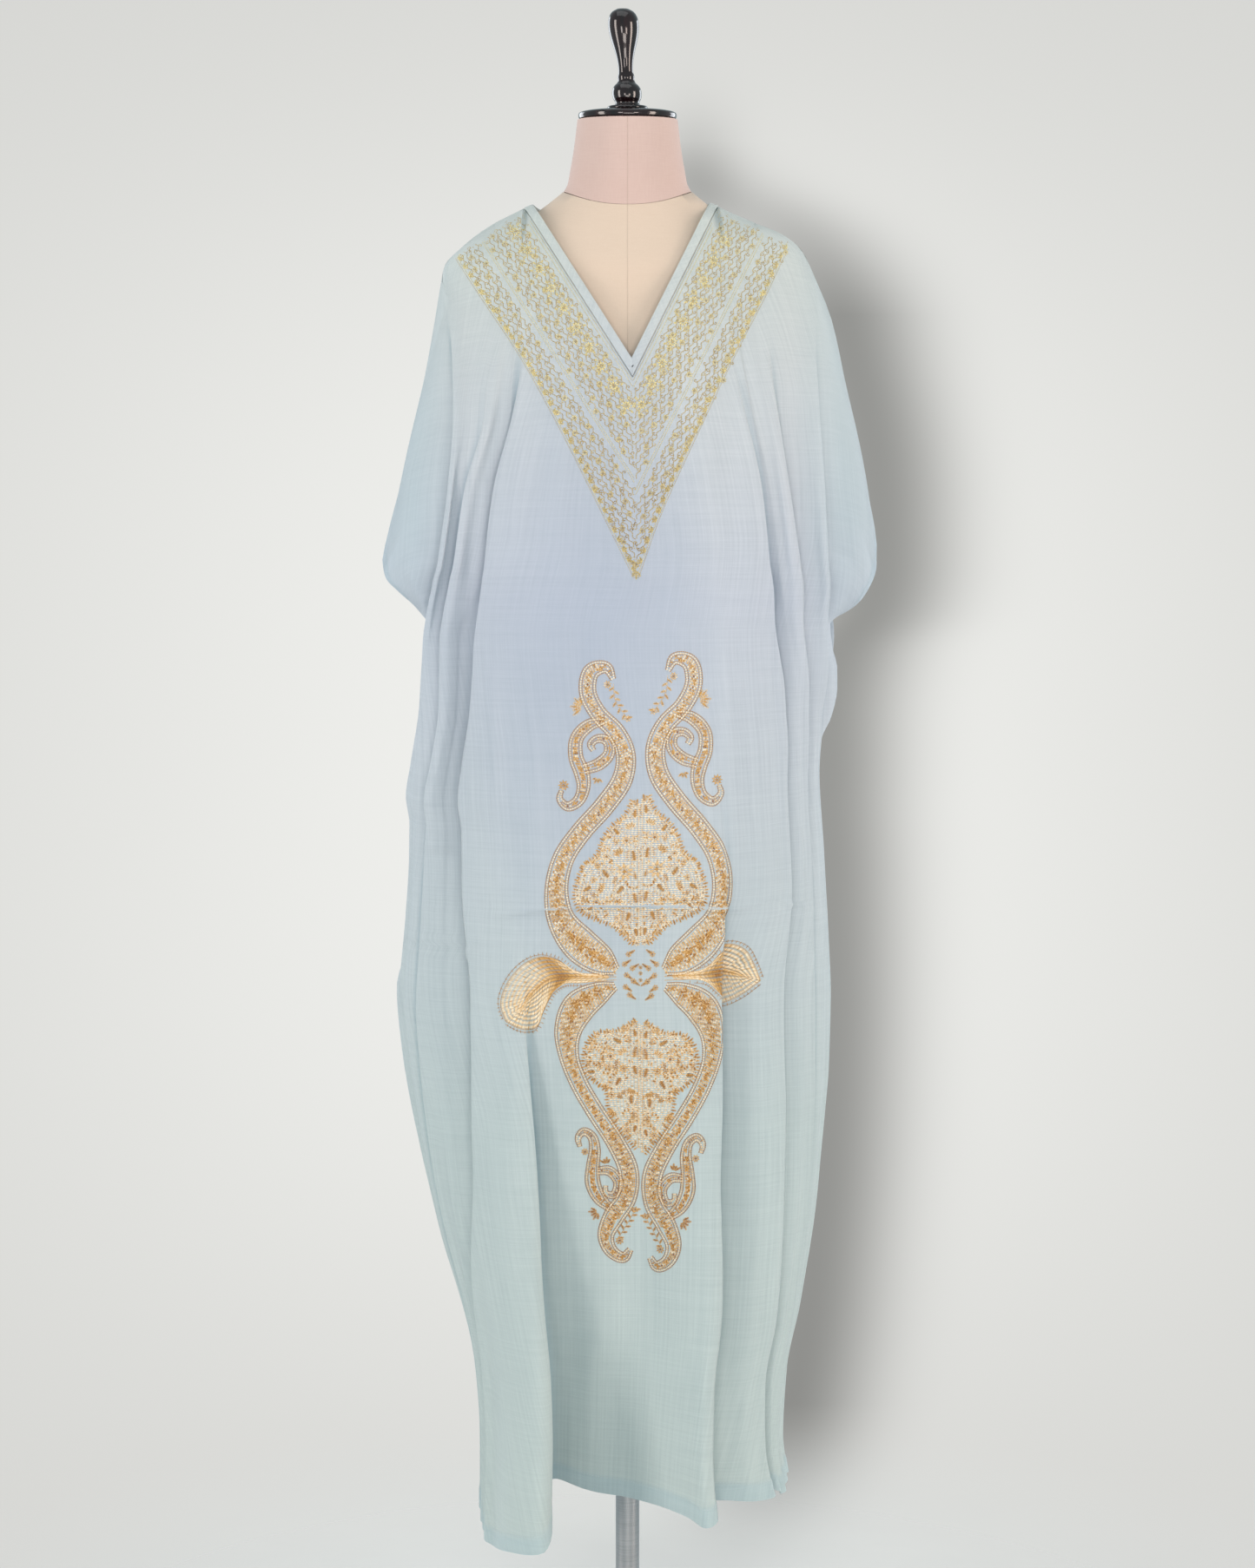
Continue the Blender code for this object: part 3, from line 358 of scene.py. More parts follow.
def pleat_column(pleats, name, facing, part, z):
    """One of a pleat's four columns: its crest, edge, tuck or valley."""
    row = pleats[name]
    side = side_of(row["x"][0])
    step = smooth(STEP_STATIONS, row["step"], z)
    share = column_share(side, row["x"], row["share"], z)
    shifted = share + row["drop"] * FLAT_SHIFT[part] / quarter_length(side, facing, z)
    flat_x, flat_y = girth_point(side, facing, shifted, z)
    ridge_x, ridge_y = girth_point(side, facing, share, z)
    turn = math.radians(row["turn"])
    inward = (-side * math.sin(turn), -facing * math.cos(turn))
    across = (side * row["drop"] * math.cos(turn), -facing * row["drop"] * math.sin(turn))
    overlap = row["tuck"] * np.clip((step - OPEN_STEP) / (FULL_STEP - OPEN_STEP), 0, 1)
    along = FOLD_ACROSS[part] - (overlap if part in ("tuck", "valley") else 0.0)
    sink = FOLD_DEPTH[part] * step
    fold_x = ridge_x + along * across[0] + sink * inward[0]
    fold_y = ridge_y + along * across[1] + sink * inward[1]
    folded = 1 - bell(step, FLAT_BELOW_STEP)
    return flat_x + folded * (fold_x - flat_x), flat_y + folded * (fold_y - flat_y)


def between_column(pleats, row, facing, z):
    """A plain column between two pleats."""
    name, first, second, weight, fall_first, fall_second = row
    shares = []
    for pleat in (first, second):
        side = side_of(pleats[pleat]["x"][0])
        shares.append(side * column_share(side, pleats[pleat]["x"], pleats[pleat]["share"], z))
    signed = shares[0] + weight * (shares[1] - shares[0])
    if name in CORNERS:
        side = side_of(CORNERS[name][0])
        pinned = side * share_at(side, smooth(UPPER_STATIONS, CORNERS[name], z), z)
        blend = smooth((ARM_Z, UPPER_STATIONS[-1]), (0, 1), z)
        signed = signed + blend * (pinned - signed)
    left = girth_point(-1, facing, -signed, z)
    right = girth_point(1, facing, signed, z)
    x = np.where(signed < 0, left[0], right[0])
    y = np.where(signed < 0, left[1], right[1])
    fall = fall_first * smooth(STEP_STATIONS, pleats[first]["step"], z)
    fall = fall + fall_second * smooth(STEP_STATIONS, pleats[second]["step"], z)
    return x, y - facing * fall


def seam_column(side, facing, z):
    """The shoulder, cuff and side seam, with the cuff's two edges apart."""
    table = SEAM_LEFT if side < 0 else SEAM_RIGHT
    out = np.where(z > CUFF_TOP_Z, half_width(side, z), curve(table, z))
    rise = np.clip((z - ARM_Z) / (CUFF_TOP_Z - ARM_Z), 0, 1)
    apart = (CUFF_OPEN_FRONT if facing < 0 else CUFF_OPEN_BACK) * np.sin(math.pi * rise) ** CUFF_BOW
    return side * out, SEAM_Y + facing * (SEAM_GAP / 2 + apart)


def sleeve_column(pleats, name, side, facing, shares, z):
    """A column between the outermost pleat and the seam, on a quarter round."""
    valley_x, valley_y = pleat_column(pleats, name, facing, "valley", z)
    seam_x, seam_y = seam_column(side, facing, z)
    angle = np.clip(smooth(SLEEVE_STATIONS, shares, z), 0, 1) * math.pi / 2
    x = valley_x + (seam_x - valley_x) * np.sin(angle)
    return x, seam_y + (valley_y - seam_y) * np.cos(angle)


def neckline(facing, count=OUTLINE_POINTS // 2):
    """The cut edge of the neck from left to right, as x and z."""
    left, right = np.array(NECK_POINT_LEFT), np.array(NECK_POINT_RIGHT)
    share = np.linspace(0, 1, count)[:, None]
    if facing < 0:
        low = np.array(NECK_V)
        return np.concatenate([left + share * (low - left), low + share[1:] * (right - low)])
    line = left + share * (right - left)
    line[:, 1] -= BACK_NECK_DROP * (1 - (2 * share[:, 0] - 1) ** 2) ** BACK_NECK_BOW
    return line


def top_outline(facing):
    """The whole top edge from the left cuff to the right one: x, z and length so far."""
    left_z = np.linspace(CUFF_TOP_Z, NECK_POINT_LEFT[1], OUTLINE_POINTS)
    right_z = np.linspace(NECK_POINT_RIGHT[1], CUFF_TOP_Z, OUTLINE_POINTS)
    left = np.stack([-half_width(-1, left_z), left_z], axis=1)
    right = np.stack([half_width(1, right_z), right_z], axis=1)
    left[-1] = NECK_POINT_LEFT
    right[0] = NECK_POINT_RIGHT
    line = np.concatenate([left, neckline(facing)[1:-1], right])
    return line, run_along(line)


def ridge_top(facing, upper_x):
    """How far along the top edge a column of this x meets it."""
    line, length = top_outline(facing)
    gap = line[:, 0] - smooth(UPPER_STATIONS, upper_x, line[:, 1])
    cross = np.flatnonzero((gap[:-1] < 0) & (gap[1:] >= 0))[0]
    share = gap[cross] / (gap[cross] - gap[cross + 1])
    return length[cross] + share * (length[cross + 1] - length[cross])


def level_top(facing, side, z):
    """How far along the top edge the sleeve's outline reaches this level."""
    line, length = top_outline(facing)
    part = slice(0, OUTLINE_POINTS) if side < 0 else slice(len(line) - OUTLINE_POINTS, len(line))
    return length[part][np.argmin(np.abs(line[part, 1] - z))]


def corner_top(facing, name):
    """How far along the top edge a column of the neckline's corners starts."""
    line, length = top_outline(facing)
    point = NECK_V
    inset = 0.0
    if name.endswith("left"):
        point = NECK_POINT_LEFT
        inset = COLLAR_INSET
    if name.endswith("right"):
        point = NECK_POINT_RIGHT
        inset = -COLLAR_INSET
    corner = length[np.argmin(np.hypot(line[:, 0] - point[0], line[:, 1] - point[1]))]
    return corner + (inset if name.startswith("collar") else 0.0)


def pinned(place, facing, along):
    """A column that starts exactly on the top edge and eases into its own place below."""
    line, length = top_outline(facing)
    x, z = map(float, on_line(line, length, along))
    side = side_of(x)
    shift = x - float(place(np.array([z]))[0][0])
    inside_neck = min(x - NECK_POINT_LEFT[0], NECK_POINT_RIGHT[0] - x)
    draw = 0.0 if inside_neck > 0.5 else CORNER_DRAW if inside_neck > -0.5 else 1.0
    at = np.array([z])
    top_y = float(girth_point(side, facing, share_at(side, np.array([x]), at), at)[1][0])
    drawn = draw * (seam_y(facing) - top_y)

    def eased(levels):
        weight = bell(z - levels, TOP_BLEND)
        own_x, own_y = place(levels)
        eased_x = own_x + weight * shift
        plain_y = girth_point(side, facing, share_at(side, eased_x, levels), levels)[1]
        eased_y = own_y + weight * (plain_y - own_y)
        return eased_x, eased_y + bell(z - levels, SEAM_BLEND) * drawn

    return eased, z


def sheet_columns(facing):
    """Every column of a half, left to right: name, place(z), top, hem and length along the top edge."""
    pleats = FRONT_PLEATS if facing < 0 else BACK_PLEATS
    between = FRONT_BETWEEN if facing < 0 else BACK_BETWEEN
    names = list(pleats)
    sides = {name: side_of(pleats[name]["x"][0]) for name in names}
    ridges = {name: ridge_top(facing, pleats[name]["x"]) for name in names}
    corners = {name: corner_top(facing, name) for name in CORNERS}
    length = top_outline(facing)[1]
    columns = []

    def add(name, place, along, hem):
        eased, top = pinned(place, facing, along)
        columns.append((name, eased, top, hem, along))

    def sleeve(side):
        outer = names[0] if side < 0 else names[-1]
        hem = pleats[outer]["hem"][1] + SEAM_HEM_RISE
        end = 0.0 if side < 0 else length[-1]
        made = [("seam", lambda z: seam_column(side, facing, z), CUFF_TOP_Z, hem, end)]
        for level, shares in SLEEVE_COLUMNS:
            place = lambda z, shares=shares: sleeve_column(pleats, outer, side, facing, shares, z)
            along = level_top(facing, side, level)
            eased, top = pinned(place, facing, along)
            made.append(("sleeve", eased, top, hem, along))
        return made

    def add_pleat(name):
        row = pleats[name]
        parts = ["crest", "edge", "tuck", "valley"]
        if sides[name] * row["drop"] < 0:
            parts.reverse()
        for part in parts:
            place = lambda z, part=part: pleat_column(pleats, name, facing, part, z)
            hem = row["hem"][0] + HEM_SHARE[part] * (row["hem"][1] - row["hem"][0])
            along = ridges[name] + sides[name] * row["drop"] * FLAT_SHIFT[part]
            add(name + "_" + part, place, along, hem)

    columns += sleeve(-1)
    for name in names:
        add_pleat(name)
        for row in between:
            if row[1] != name:
                continue
            place = lambda z, row=row: between_column(pleats, row, facing, z)
            along = ridges[row[1]] + row[3] * (ridges[row[2]] - ridges[row[1]])
            ends = pleats[row[1]]["hem"], pleats[row[2]]["hem"]
            near = ends[0][1] if (row[4] > 0 or row[5] > 0) else ends[0][0]
            add(row[0], place, corners.get(row[0], along), near + row[3] * (ends[1][0] - near))
    columns += sleeve(1)[::-1]
    return columns


def row_levels(top, hem, shares=UPPER_SHARES):
    """Levels of one column's points, from its top down to the hem."""
    upper = [ARM_Z + (top - ARM_Z) * share for share in shares]
    lower = np.array(LOWER_LEVELS, float)
    shift = np.clip((HEM_BLEND_Z - lower) / (HEM_BLEND_Z - HEM_Z), 0, 1)
    return np.concatenate([upper, lower + shift * (hem - HEM_Z)])


# Fine rows between the form's rows, and fine columns inside a pleat and between pleats
ROWS_BETWEEN = 5
# More fine rows where the pressed creases cross: row of the form, fine rows after it
CREASE_ROWS = {17: 8, 18: 6, 19: 18, 20: 9, 28: 8, 29: 12, 30: 16}
PLEAT_STEPS = 3
PLAIN_STEPS = 6
# Thickness of the fine cloth
SHELL = 1.0
# Rows over which the fine cloth leaves the exact top edge, and how wide the neck's corners are eased
TOP_REACH = 1.3
CORNER_REACH = 16.0
# Columns each way and rows down over which the facing of the top edge is evened
EVEN_COLUMNS = 6
EVEN_ROWS = 5.0
# Rows under the top edge that stay free of creases
PLAIN_TOP_ROWS = 3
# The turned hem and cuffs: how deep, how far they stand out, and how soft their edge is
HEM_TURN = 20.0
CUFF_TURN = 17.0
HEM_RISE = 0.9
TURN_SOFTNESS = 1.5
# How far a pleat's edge stands out and the cloth under it sinks; the fold beside the left sleeve is deeper,
# with more shade painted in it
FOLD_ROLL = 0.9
FOLD_SINK = 3.2
DEEP_FOLDS = {"sleeve_left": 2.2, "panel_left": 1.25}
# Step at which this starts, the step over which it grows, the most it grows to, and the darkest painted
# shade in a fold
ROLL_FROM = 3.0
ROLL_OVER = 10.0
ROLL_MOST = 1.2
DEEPEST_SHADE = 1.6
# How wide the edge, the sunk cloth and the shade painted under the edge are, in fine columns
ROLL_WIDTH = 1.8
SINK_WIDTH = 2.0
SHADE_WIDTH = 1.9
# Height under the top edge over which the slow unevenness grows
DRAPE_FADE = 120.0
# The form's row at the underarm, where the cuff ends
UNDERARM_ROW = 12
# Levels at which the cloth is looked up when thread is laid on it: first, end and step
THREAD_LEVELS = (236.0, 1564.0, 3.0)


def through(points, step_counts):
    """Points on a smooth curve through a row of points, never looping at a tight fold."""
    points = np.asarray(points, float)
    first = 2 * points[:1] - points[1:2]
    last = 2 * points[-1:] - points[-2:-1]
    ends = np.concatenate([first, points, last])
    knots = np.sqrt(np.linalg.norm(np.diff(ends, axis=0), axis=-1, keepdims=True)) + 1e-6
    made = []
    for k, count in enumerate(step_counts):
        a, b, c, d = ends[k:k + 4]
        t1 = knots[k]
        t2 = t1 + knots[k + 1]
        t3 = t2 + knots[k + 2]
        for i in range(count):
            t = t1 + (t2 - t1) * i / count
            ab = ((t1 - t) * a + t * b) / t1
            bc = ((t2 - t) * b + (t - t1) * c) / (t2 - t1)
            cd = ((t3 - t) * c + (t - t2) * d) / (t3 - t2)
            abc = ((t2 - t) * ab + t * bc) / t2
            bcd = ((t3 - t) * bc + (t - t1) * cd) / (t3 - t1)
            made.append(((t2 - t) * abc + (t - t1) * bcd) / (t2 - t1))
    made.append(points[-1])
    return np.array(made)


def fine_sheet(facing):
    """The fine outer face of a half, columns by rows, and where each of the form's columns lies in it."""
    columns = sheet_columns(facing)
    rows = len(UPPER_SHARES) + len(LOWER_LEVELS) - 1
    row = np.concatenate([k + np.arange(n) / n for k, n in
                          ((k, CREASE_ROWS.get(k, ROWS_BETWEEN)) for k in range(rows))] + [[rows]])
    grid = []
    for name, place, top, hem, _ in columns:
        levels = row_levels(top, hem, CUFF_SHARES if name == "seam" else UPPER_SHARES)
        z = smooth(np.arange(len(levels)), levels, row)
        x, y = place(z)
        grid.append(np.stack([x, y, z], axis=1))
    names = [column[0] for column in columns]
    counts = []
    for left, right in zip(names, names[1:]):
        same = left.rsplit("_", 1)[0] == right.rsplit("_", 1)[0]
        inner = same and right.rsplit("_", 1)[-1] in HEM_SHARE and left.rsplit("_", 1)[-1] in HEM_SHARE
        counts.append(PLEAT_STEPS if inner else PLAIN_STEPS)
    fine = through(grid, counts)
    alongs = through(np.array([[column[4]] for column in columns]), [1] * (len(columns) - 1))[:, 0]
    fine_along = np.concatenate([np.linspace(a, b, n, endpoint=False)
                                 for a, b, n in zip(alongs, alongs[1:], counts)] + [alongs[-1:]])
    line, length = top_outline(facing)
    x, z = on_line(line, length, fine_along).T
    y = np.array([girth_point(side_of(a), facing, share_at(side_of(a), a, b), b)[1] for a, b in zip(x, z)])
    limit = seam_y(facing)
    inside_neck = np.minimum(x - NECK_POINT_LEFT[0], NECK_POINT_RIGHT[0] - x)
    y = y + (limit - y) * np.clip(0.5 - inside_neck / CORNER_REACH, 0, 1)
    exact = np.stack([x, y, z], axis=1)
    near_top = bell(row, TOP_REACH)[None, :, None]
    fine = fine + near_top * (exact - fine[:, 0])[:, None]
    fine[:, :, 1] = np.minimum(fine[:, :, 1], limit) if facing < 0 else np.maximum(fine[:, :, 1], limit)
    return fine, dict(zip(names, np.concatenate([[0], np.cumsum(counts)])))


def sheet_normals(grid, facing):
    """Outward unit normals of a fine sheet: even along the top edge, and in the seam's plane there."""
    normals = np.cross(np.gradient(grid, axis=1), np.gradient(grid, axis=0)) * -facing
    normals = unit(normals)
    wide = np.pad(normals, ((EVEN_COLUMNS, EVEN_COLUMNS), (0, 0), (0, 0)), mode="edge")
    taken = 2 * EVEN_COLUMNS + 1
    even = sum(wide[k:k + len(normals)] for k in range(taken)) / taken
    near_top = bell(np.arange(grid.shape[1]), EVEN_ROWS)[None, :, None]
    normals = unit(normals + near_top * (even - normals))
    on_seam = np.abs(grid[:, :, 1] - SEAM_Y) < SEAM_GAP
    normals[on_seam, 1] = 0
    return unit(normals)


def crease(grid, line, width, depth, tail=0.5):
    """Height of one pressed crease over a sheet seen from the front: a soft ridge along a line."""
    line = np.array(line, float)
    x, z = grid[:, :, 0], grid[:, :, 2]
    lengths = np.hypot(*np.diff(line, axis=0).T)
    total = lengths.sum()
    best = np.full(x.shape, 1e9)
    share = np.zeros(x.shape)
    run = 0.0
    for (x0, z0), (x1, z1), piece in zip(line, line[1:], lengths):
        t = np.clip(((x - x0) * (x1 - x0) + (z - z0) * (z1 - z0)) / piece ** 2, 0, 1)
        away = np.hypot(x - x0 - t * (x1 - x0), z - z0 - t * (z1 - z0))
        near = away < best
        best = np.where(near, away, best)
        share = np.where(near, (run + t * piece) / total, share)
        run += piece
    ends = np.sin(math.pi * np.clip(share, 0.02, 0.98)) ** tail
    return depth * ends * bell(best, width)


def pressed_folds(grid, facing, starts):
    """How far each pleat's edge rolls out and the cloth under it sinks, and the shade painted deep in each
    fold.
    """
    column = np.arange(len(grid))[:, None]
    lift = np.zeros(grid.shape[:2])
    inside = np.zeros(grid.shape[:2])
    for name, row in (FRONT_PLEATS if facing < 0 else BACK_PLEATS).items():
        edge, tuck = starts[name + "_edge"], starts[name + "_tuck"]
        under = tuck + (1 if tuck > edge else -1)
        step = smooth(STEP_STATIONS, row["step"], grid[edge, :, 2])
        strength = np.clip((step - ROLL_FROM) / ROLL_OVER, 0, ROLL_MOST)[None, :]
        depth = DEEP_FOLDS.get(name, 1.0)
        lift += strength * (FOLD_ROLL * bell(column - edge, ROLL_WIDTH)
                            - FOLD_SINK * depth * bell(column - under, SINK_WIDTH))
        # Shade is painted under each pleat's edge, darkest where the fold is deepest.
        inside += strength * depth * bell(column - under, SHADE_WIDTH)
    return lift, np.clip(inside, 0, DEEPEST_SHADE)


def drape(grid, waves):
    """Slow unevenness of hanging cloth, from a table of waves."""
    x, z = grid[:, :, 0], grid[:, :, 2]
    total = np.zeros(x.shape)
    for across, down, turn, height in waves:
        total += height * np.sin(2 * math.pi * (x / across + z / down) + turn)
    fade = np.clip((grid[:, :, 2].max(axis=1, keepdims=True) - z) / DRAPE_FADE, 0, 1)
    return total * fade


def new_mesh(name, points, faces, weave=None):
    """A mesh of points in millimetres, laid out on the flat cloth where it is woven."""
    mesh = bpy.data.meshes.new(name)
    mesh.from_pydata((points.reshape(-1, 3) * MM).tolist(), [], faces)
    if weave is not None:
        layer = mesh.uv_layers.new(name="weave")
        corners = np.empty(len(mesh.loops), dtype=np.int32)
        mesh.loops.foreach_get("vertex_index", corners)
        layer.data.foreach_set("uv", (weave * MM)[corners].ravel())
    return mesh


def ring_quads(rings, onward):
    """Faces all round between each ring and the next."""
    corners = [rings, np.roll(rings, -1, axis=1), np.roll(onward, -1, axis=1), onward]
    return np.stack(corners, axis=-1).reshape(-1, 4).tolist()


def shell(name, outer, inner, facing, uv, marks):
    """A closed thin mesh between two sheets of points."""
    across, down = outer.shape[:2]
    index = np.arange(across * down).reshape(across, down)
    a, b, c, d = index[:-1, :-1], index[:-1, 1:], index[1:, 1:], index[1:, :-1]
    quads = np.stack([a, b, c, d], axis=-1).reshape(-1, 4)
    if facing > 0:
        quads = quads[:, ::-1]
    offset = across * down
    under = quads[:, ::-1] + offset
    ring = np.concatenate([index[:, 0], index[-1, 1:], index[-2::-1, -1], index[0, -2:0:-1]])
    following = np.roll(ring, -1)
    rim = np.stack([ring, following, following + offset, ring + offset], axis=1)
    if facing > 0:
        rim = rim[:, ::-1]
    faces = np.concatenate([quads, under, rim])
    points = np.concatenate([outer.reshape(-1, 3), inner.reshape(-1, 3)])
    mesh = new_mesh(name, points, faces.tolist(), np.concatenate([uv.reshape(-1, 2)] * 2))
    for mark, values in marks.items():
        layer = mesh.attributes.new(mark, "FLOAT", "POINT")
        layer.data.foreach_set("value", np.concatenate([values.reshape(-1)] * 2))
    return place_piece(name, mesh)


def link_object(name, data):
    made = bpy.data.objects.new(name, data)
    bpy.context.scene.collection.objects.link(made)
    return made


def place_piece(name, mesh, sharp=70):
    mesh.validate()
    mesh.shade_smooth()
    mesh.set_sharp_from_angle(angle=math.radians(sharp))
    piece = link_object(name, mesh)
    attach(piece, "root")
    return piece


class Sheet:
    """A half of the kaftan as fine cloth, with a way to find points on it."""

    def __init__(self, facing, creases, waves):
        self.facing = facing
        grid, starts = fine_sheet(facing)
        self.middle = starts["neck_v" if facing < 0 else "spine"]
        normals = sheet_normals(grid, facing)
        lift = drape(grid, waves)
        for line, width, depth in creases:
            lift = lift + crease(grid, line, width, depth)
        turned = self.turned_hem(grid) + self.turned_cuffs(grid)
        rolled, inside = pressed_folds(grid, facing, starts)
        # The painted shade deep in the folds goes on the cloth as a mark.
        self.marks = {"turned": np.clip(turned / HEM_RISE, 0, 1), "in_fold": inside}
        lift = lift + turned + rolled
        on_seam = np.abs(grid[:, :, 1] - SEAM_Y) < SEAM_GAP
        lift = np.where(on_seam, 0, lift)
        lift *= np.clip(np.arange(grid.shape[1]) / PLAIN_TOP_ROWS, 0, 1)[None, :]
        self.outer = grid + lift[:, :, None] * normals
        self.normals = sheet_normals(self.outer, facing)
        self.across = self.developed()
        self.levels = np.arange(*THREAD_LEVELS)
        self.table = self.level_table()

    def turned_cuffs(self, grid):
        """The turned edge of each cuff, down to the underarm."""
        run = run_along(grid)
        away = np.minimum(run, run[-1] - run)
        above = np.clip(UNDERARM_ROW - 1 - np.arange(grid.shape[1]) / ROWS_BETWEEN, 0, 1)
        return HEM_RISE * np.clip((CUFF_TURN - away) / TURN_SOFTNESS, 0, 1) * above

    def turned_hem(self, grid):
        """The turned hem stands out a little from the cloth above it."""
        up = run_along(grid.swapaxes(0, 1)[::-1])[::-1].T
        return HEM_RISE * np.clip((HEM_TURN - up) / TURN_SOFTNESS, 0, 1)

    def developed(self):
        """Each point's place on the flat cloth: across from the centre line and up from the underarm."""
        across, down = run_along(self.outer), run_along(self.outer.swapaxes(0, 1)).T
        across -= across[self.middle]
        return np.stack([across, down[:, UNDERARM_ROW * ROWS_BETWEEN][:, None] - down], axis=2)

    def piece(self, name):
        inner = self.outer - SHELL * self.normals
        return shell(name, self.outer, inner, self.facing, self.across, self.marks)

    def flat_size(self):
        """Width and length of the flat cut in metres."""
        widths = self.across[-1, :, 0] - self.across[0, :, 0]
        up = self.across[:, :, 1]
        return widths.max() * MM, (up.max() - up.min()) * MM

    def flat_area(self):
        sides = np.cross(np.diff(self.outer[:-1], axis=1), np.diff(self.outer[:, :-1], axis=0))
        return float(np.linalg.norm(sides, axis=2).sum()) * MM * MM

    def level_table(self):
        """Each column's point and normal at even levels, and how far across the cloth it lies."""
        rows = np.full((len(self.levels), len(self.outer), 6), np.nan)
        for k, (line, normal) in enumerate(zip(self.outer, self.normals)):
            z = line[::-1, 2]
            rising = np.maximum.accumulate(z)
            inside = (self.levels <= z[-1]) & (self.levels >= z[0])
            values = np.concatenate([line, normal], axis=1)[::-1]
            rows[inside, k] = on_line(values, rising, self.levels[inside])
        return rows

    def at(self, points, by_width=False):
        """Points and normals on the cloth for design points (x, z), or (width, z) along the cloth."""
        points = np.asarray(points, float)
        place = np.clip((points[:, 1] - self.levels[0]) / (self.levels[1] - self.levels[0]), 0,
                        len(self.levels) - 1.001)
        low = place.astype(int)
        blend = place - low
        found = np.zeros((len(points), 6))
        for k in np.unique(low):
            chosen = low == k
            halves = []
            for level in (k, k + 1):
                row = self.table[level]
                row = row[~np.isnan(row[:, 0])]
                if by_width:
                    key = run_along(row[:, :2])
                    centre = np.argmin(np.abs(row[:, 0] - NECK_V[0]))
                    key = key - key[centre] + row[centre, 0]
                else:
                    key = np.maximum.accumulate(row[:, 0])
                halves.append(on_line(row, key, points[chosen, 0]))
            share = blend[chosen][:, None]
            found[chosen] = halves[0] * (1 - share) + halves[1] * share
        return found[:, :3], unit(found[:, 3:])


# Thread work is drawn flat, in millimetres, then laid on the cloth stitch by stitch
# How far a stitch's ends lie over the cloth and its root under it, and how far a stitch may stretch
STITCH_LIFT = 0.05
STITCH_ROOT = -0.25
LONGEST_STRETCH = 1.7
# Shades of a thread run from 0, darkest, to 1, lightest
DARK, WARM, PALE = 0.12, 0.5, 0.88
# Step between the rows of a worked ground
GROUND_ROW = 1.75


def flowing(chart, steps=8):
    """A smooth line through a chart's rows; further columns, such as its width, run along with it."""
    return through(np.array(chart, float), [steps] * (len(chart) - 1))


def beside(line, offset):
    """A line parallel to another, to its left."""
    way = unit(np.gradient(line, axis=0))
    return line + np.stack([-way[:, 1], way[:, 0]], axis=1) * np.reshape(offset, (-1, 1))


def ringed(centre, radius, start, sweep, count=14, stretch=1.0):
    """Points of an arc or a spiral: radius may be (first, last)."""
    first, last = radius if isinstance(radius, tuple) else (radius, radius)
    share = np.linspace(0, 1, count)
    angle = math.radians(start) + math.radians(sweep) * share
    reach = first + (last - first) * share
    return np.stack([centre[0] + reach * np.cos(angle), centre[1] + stretch * reach * np.sin(angle)], axis=1)


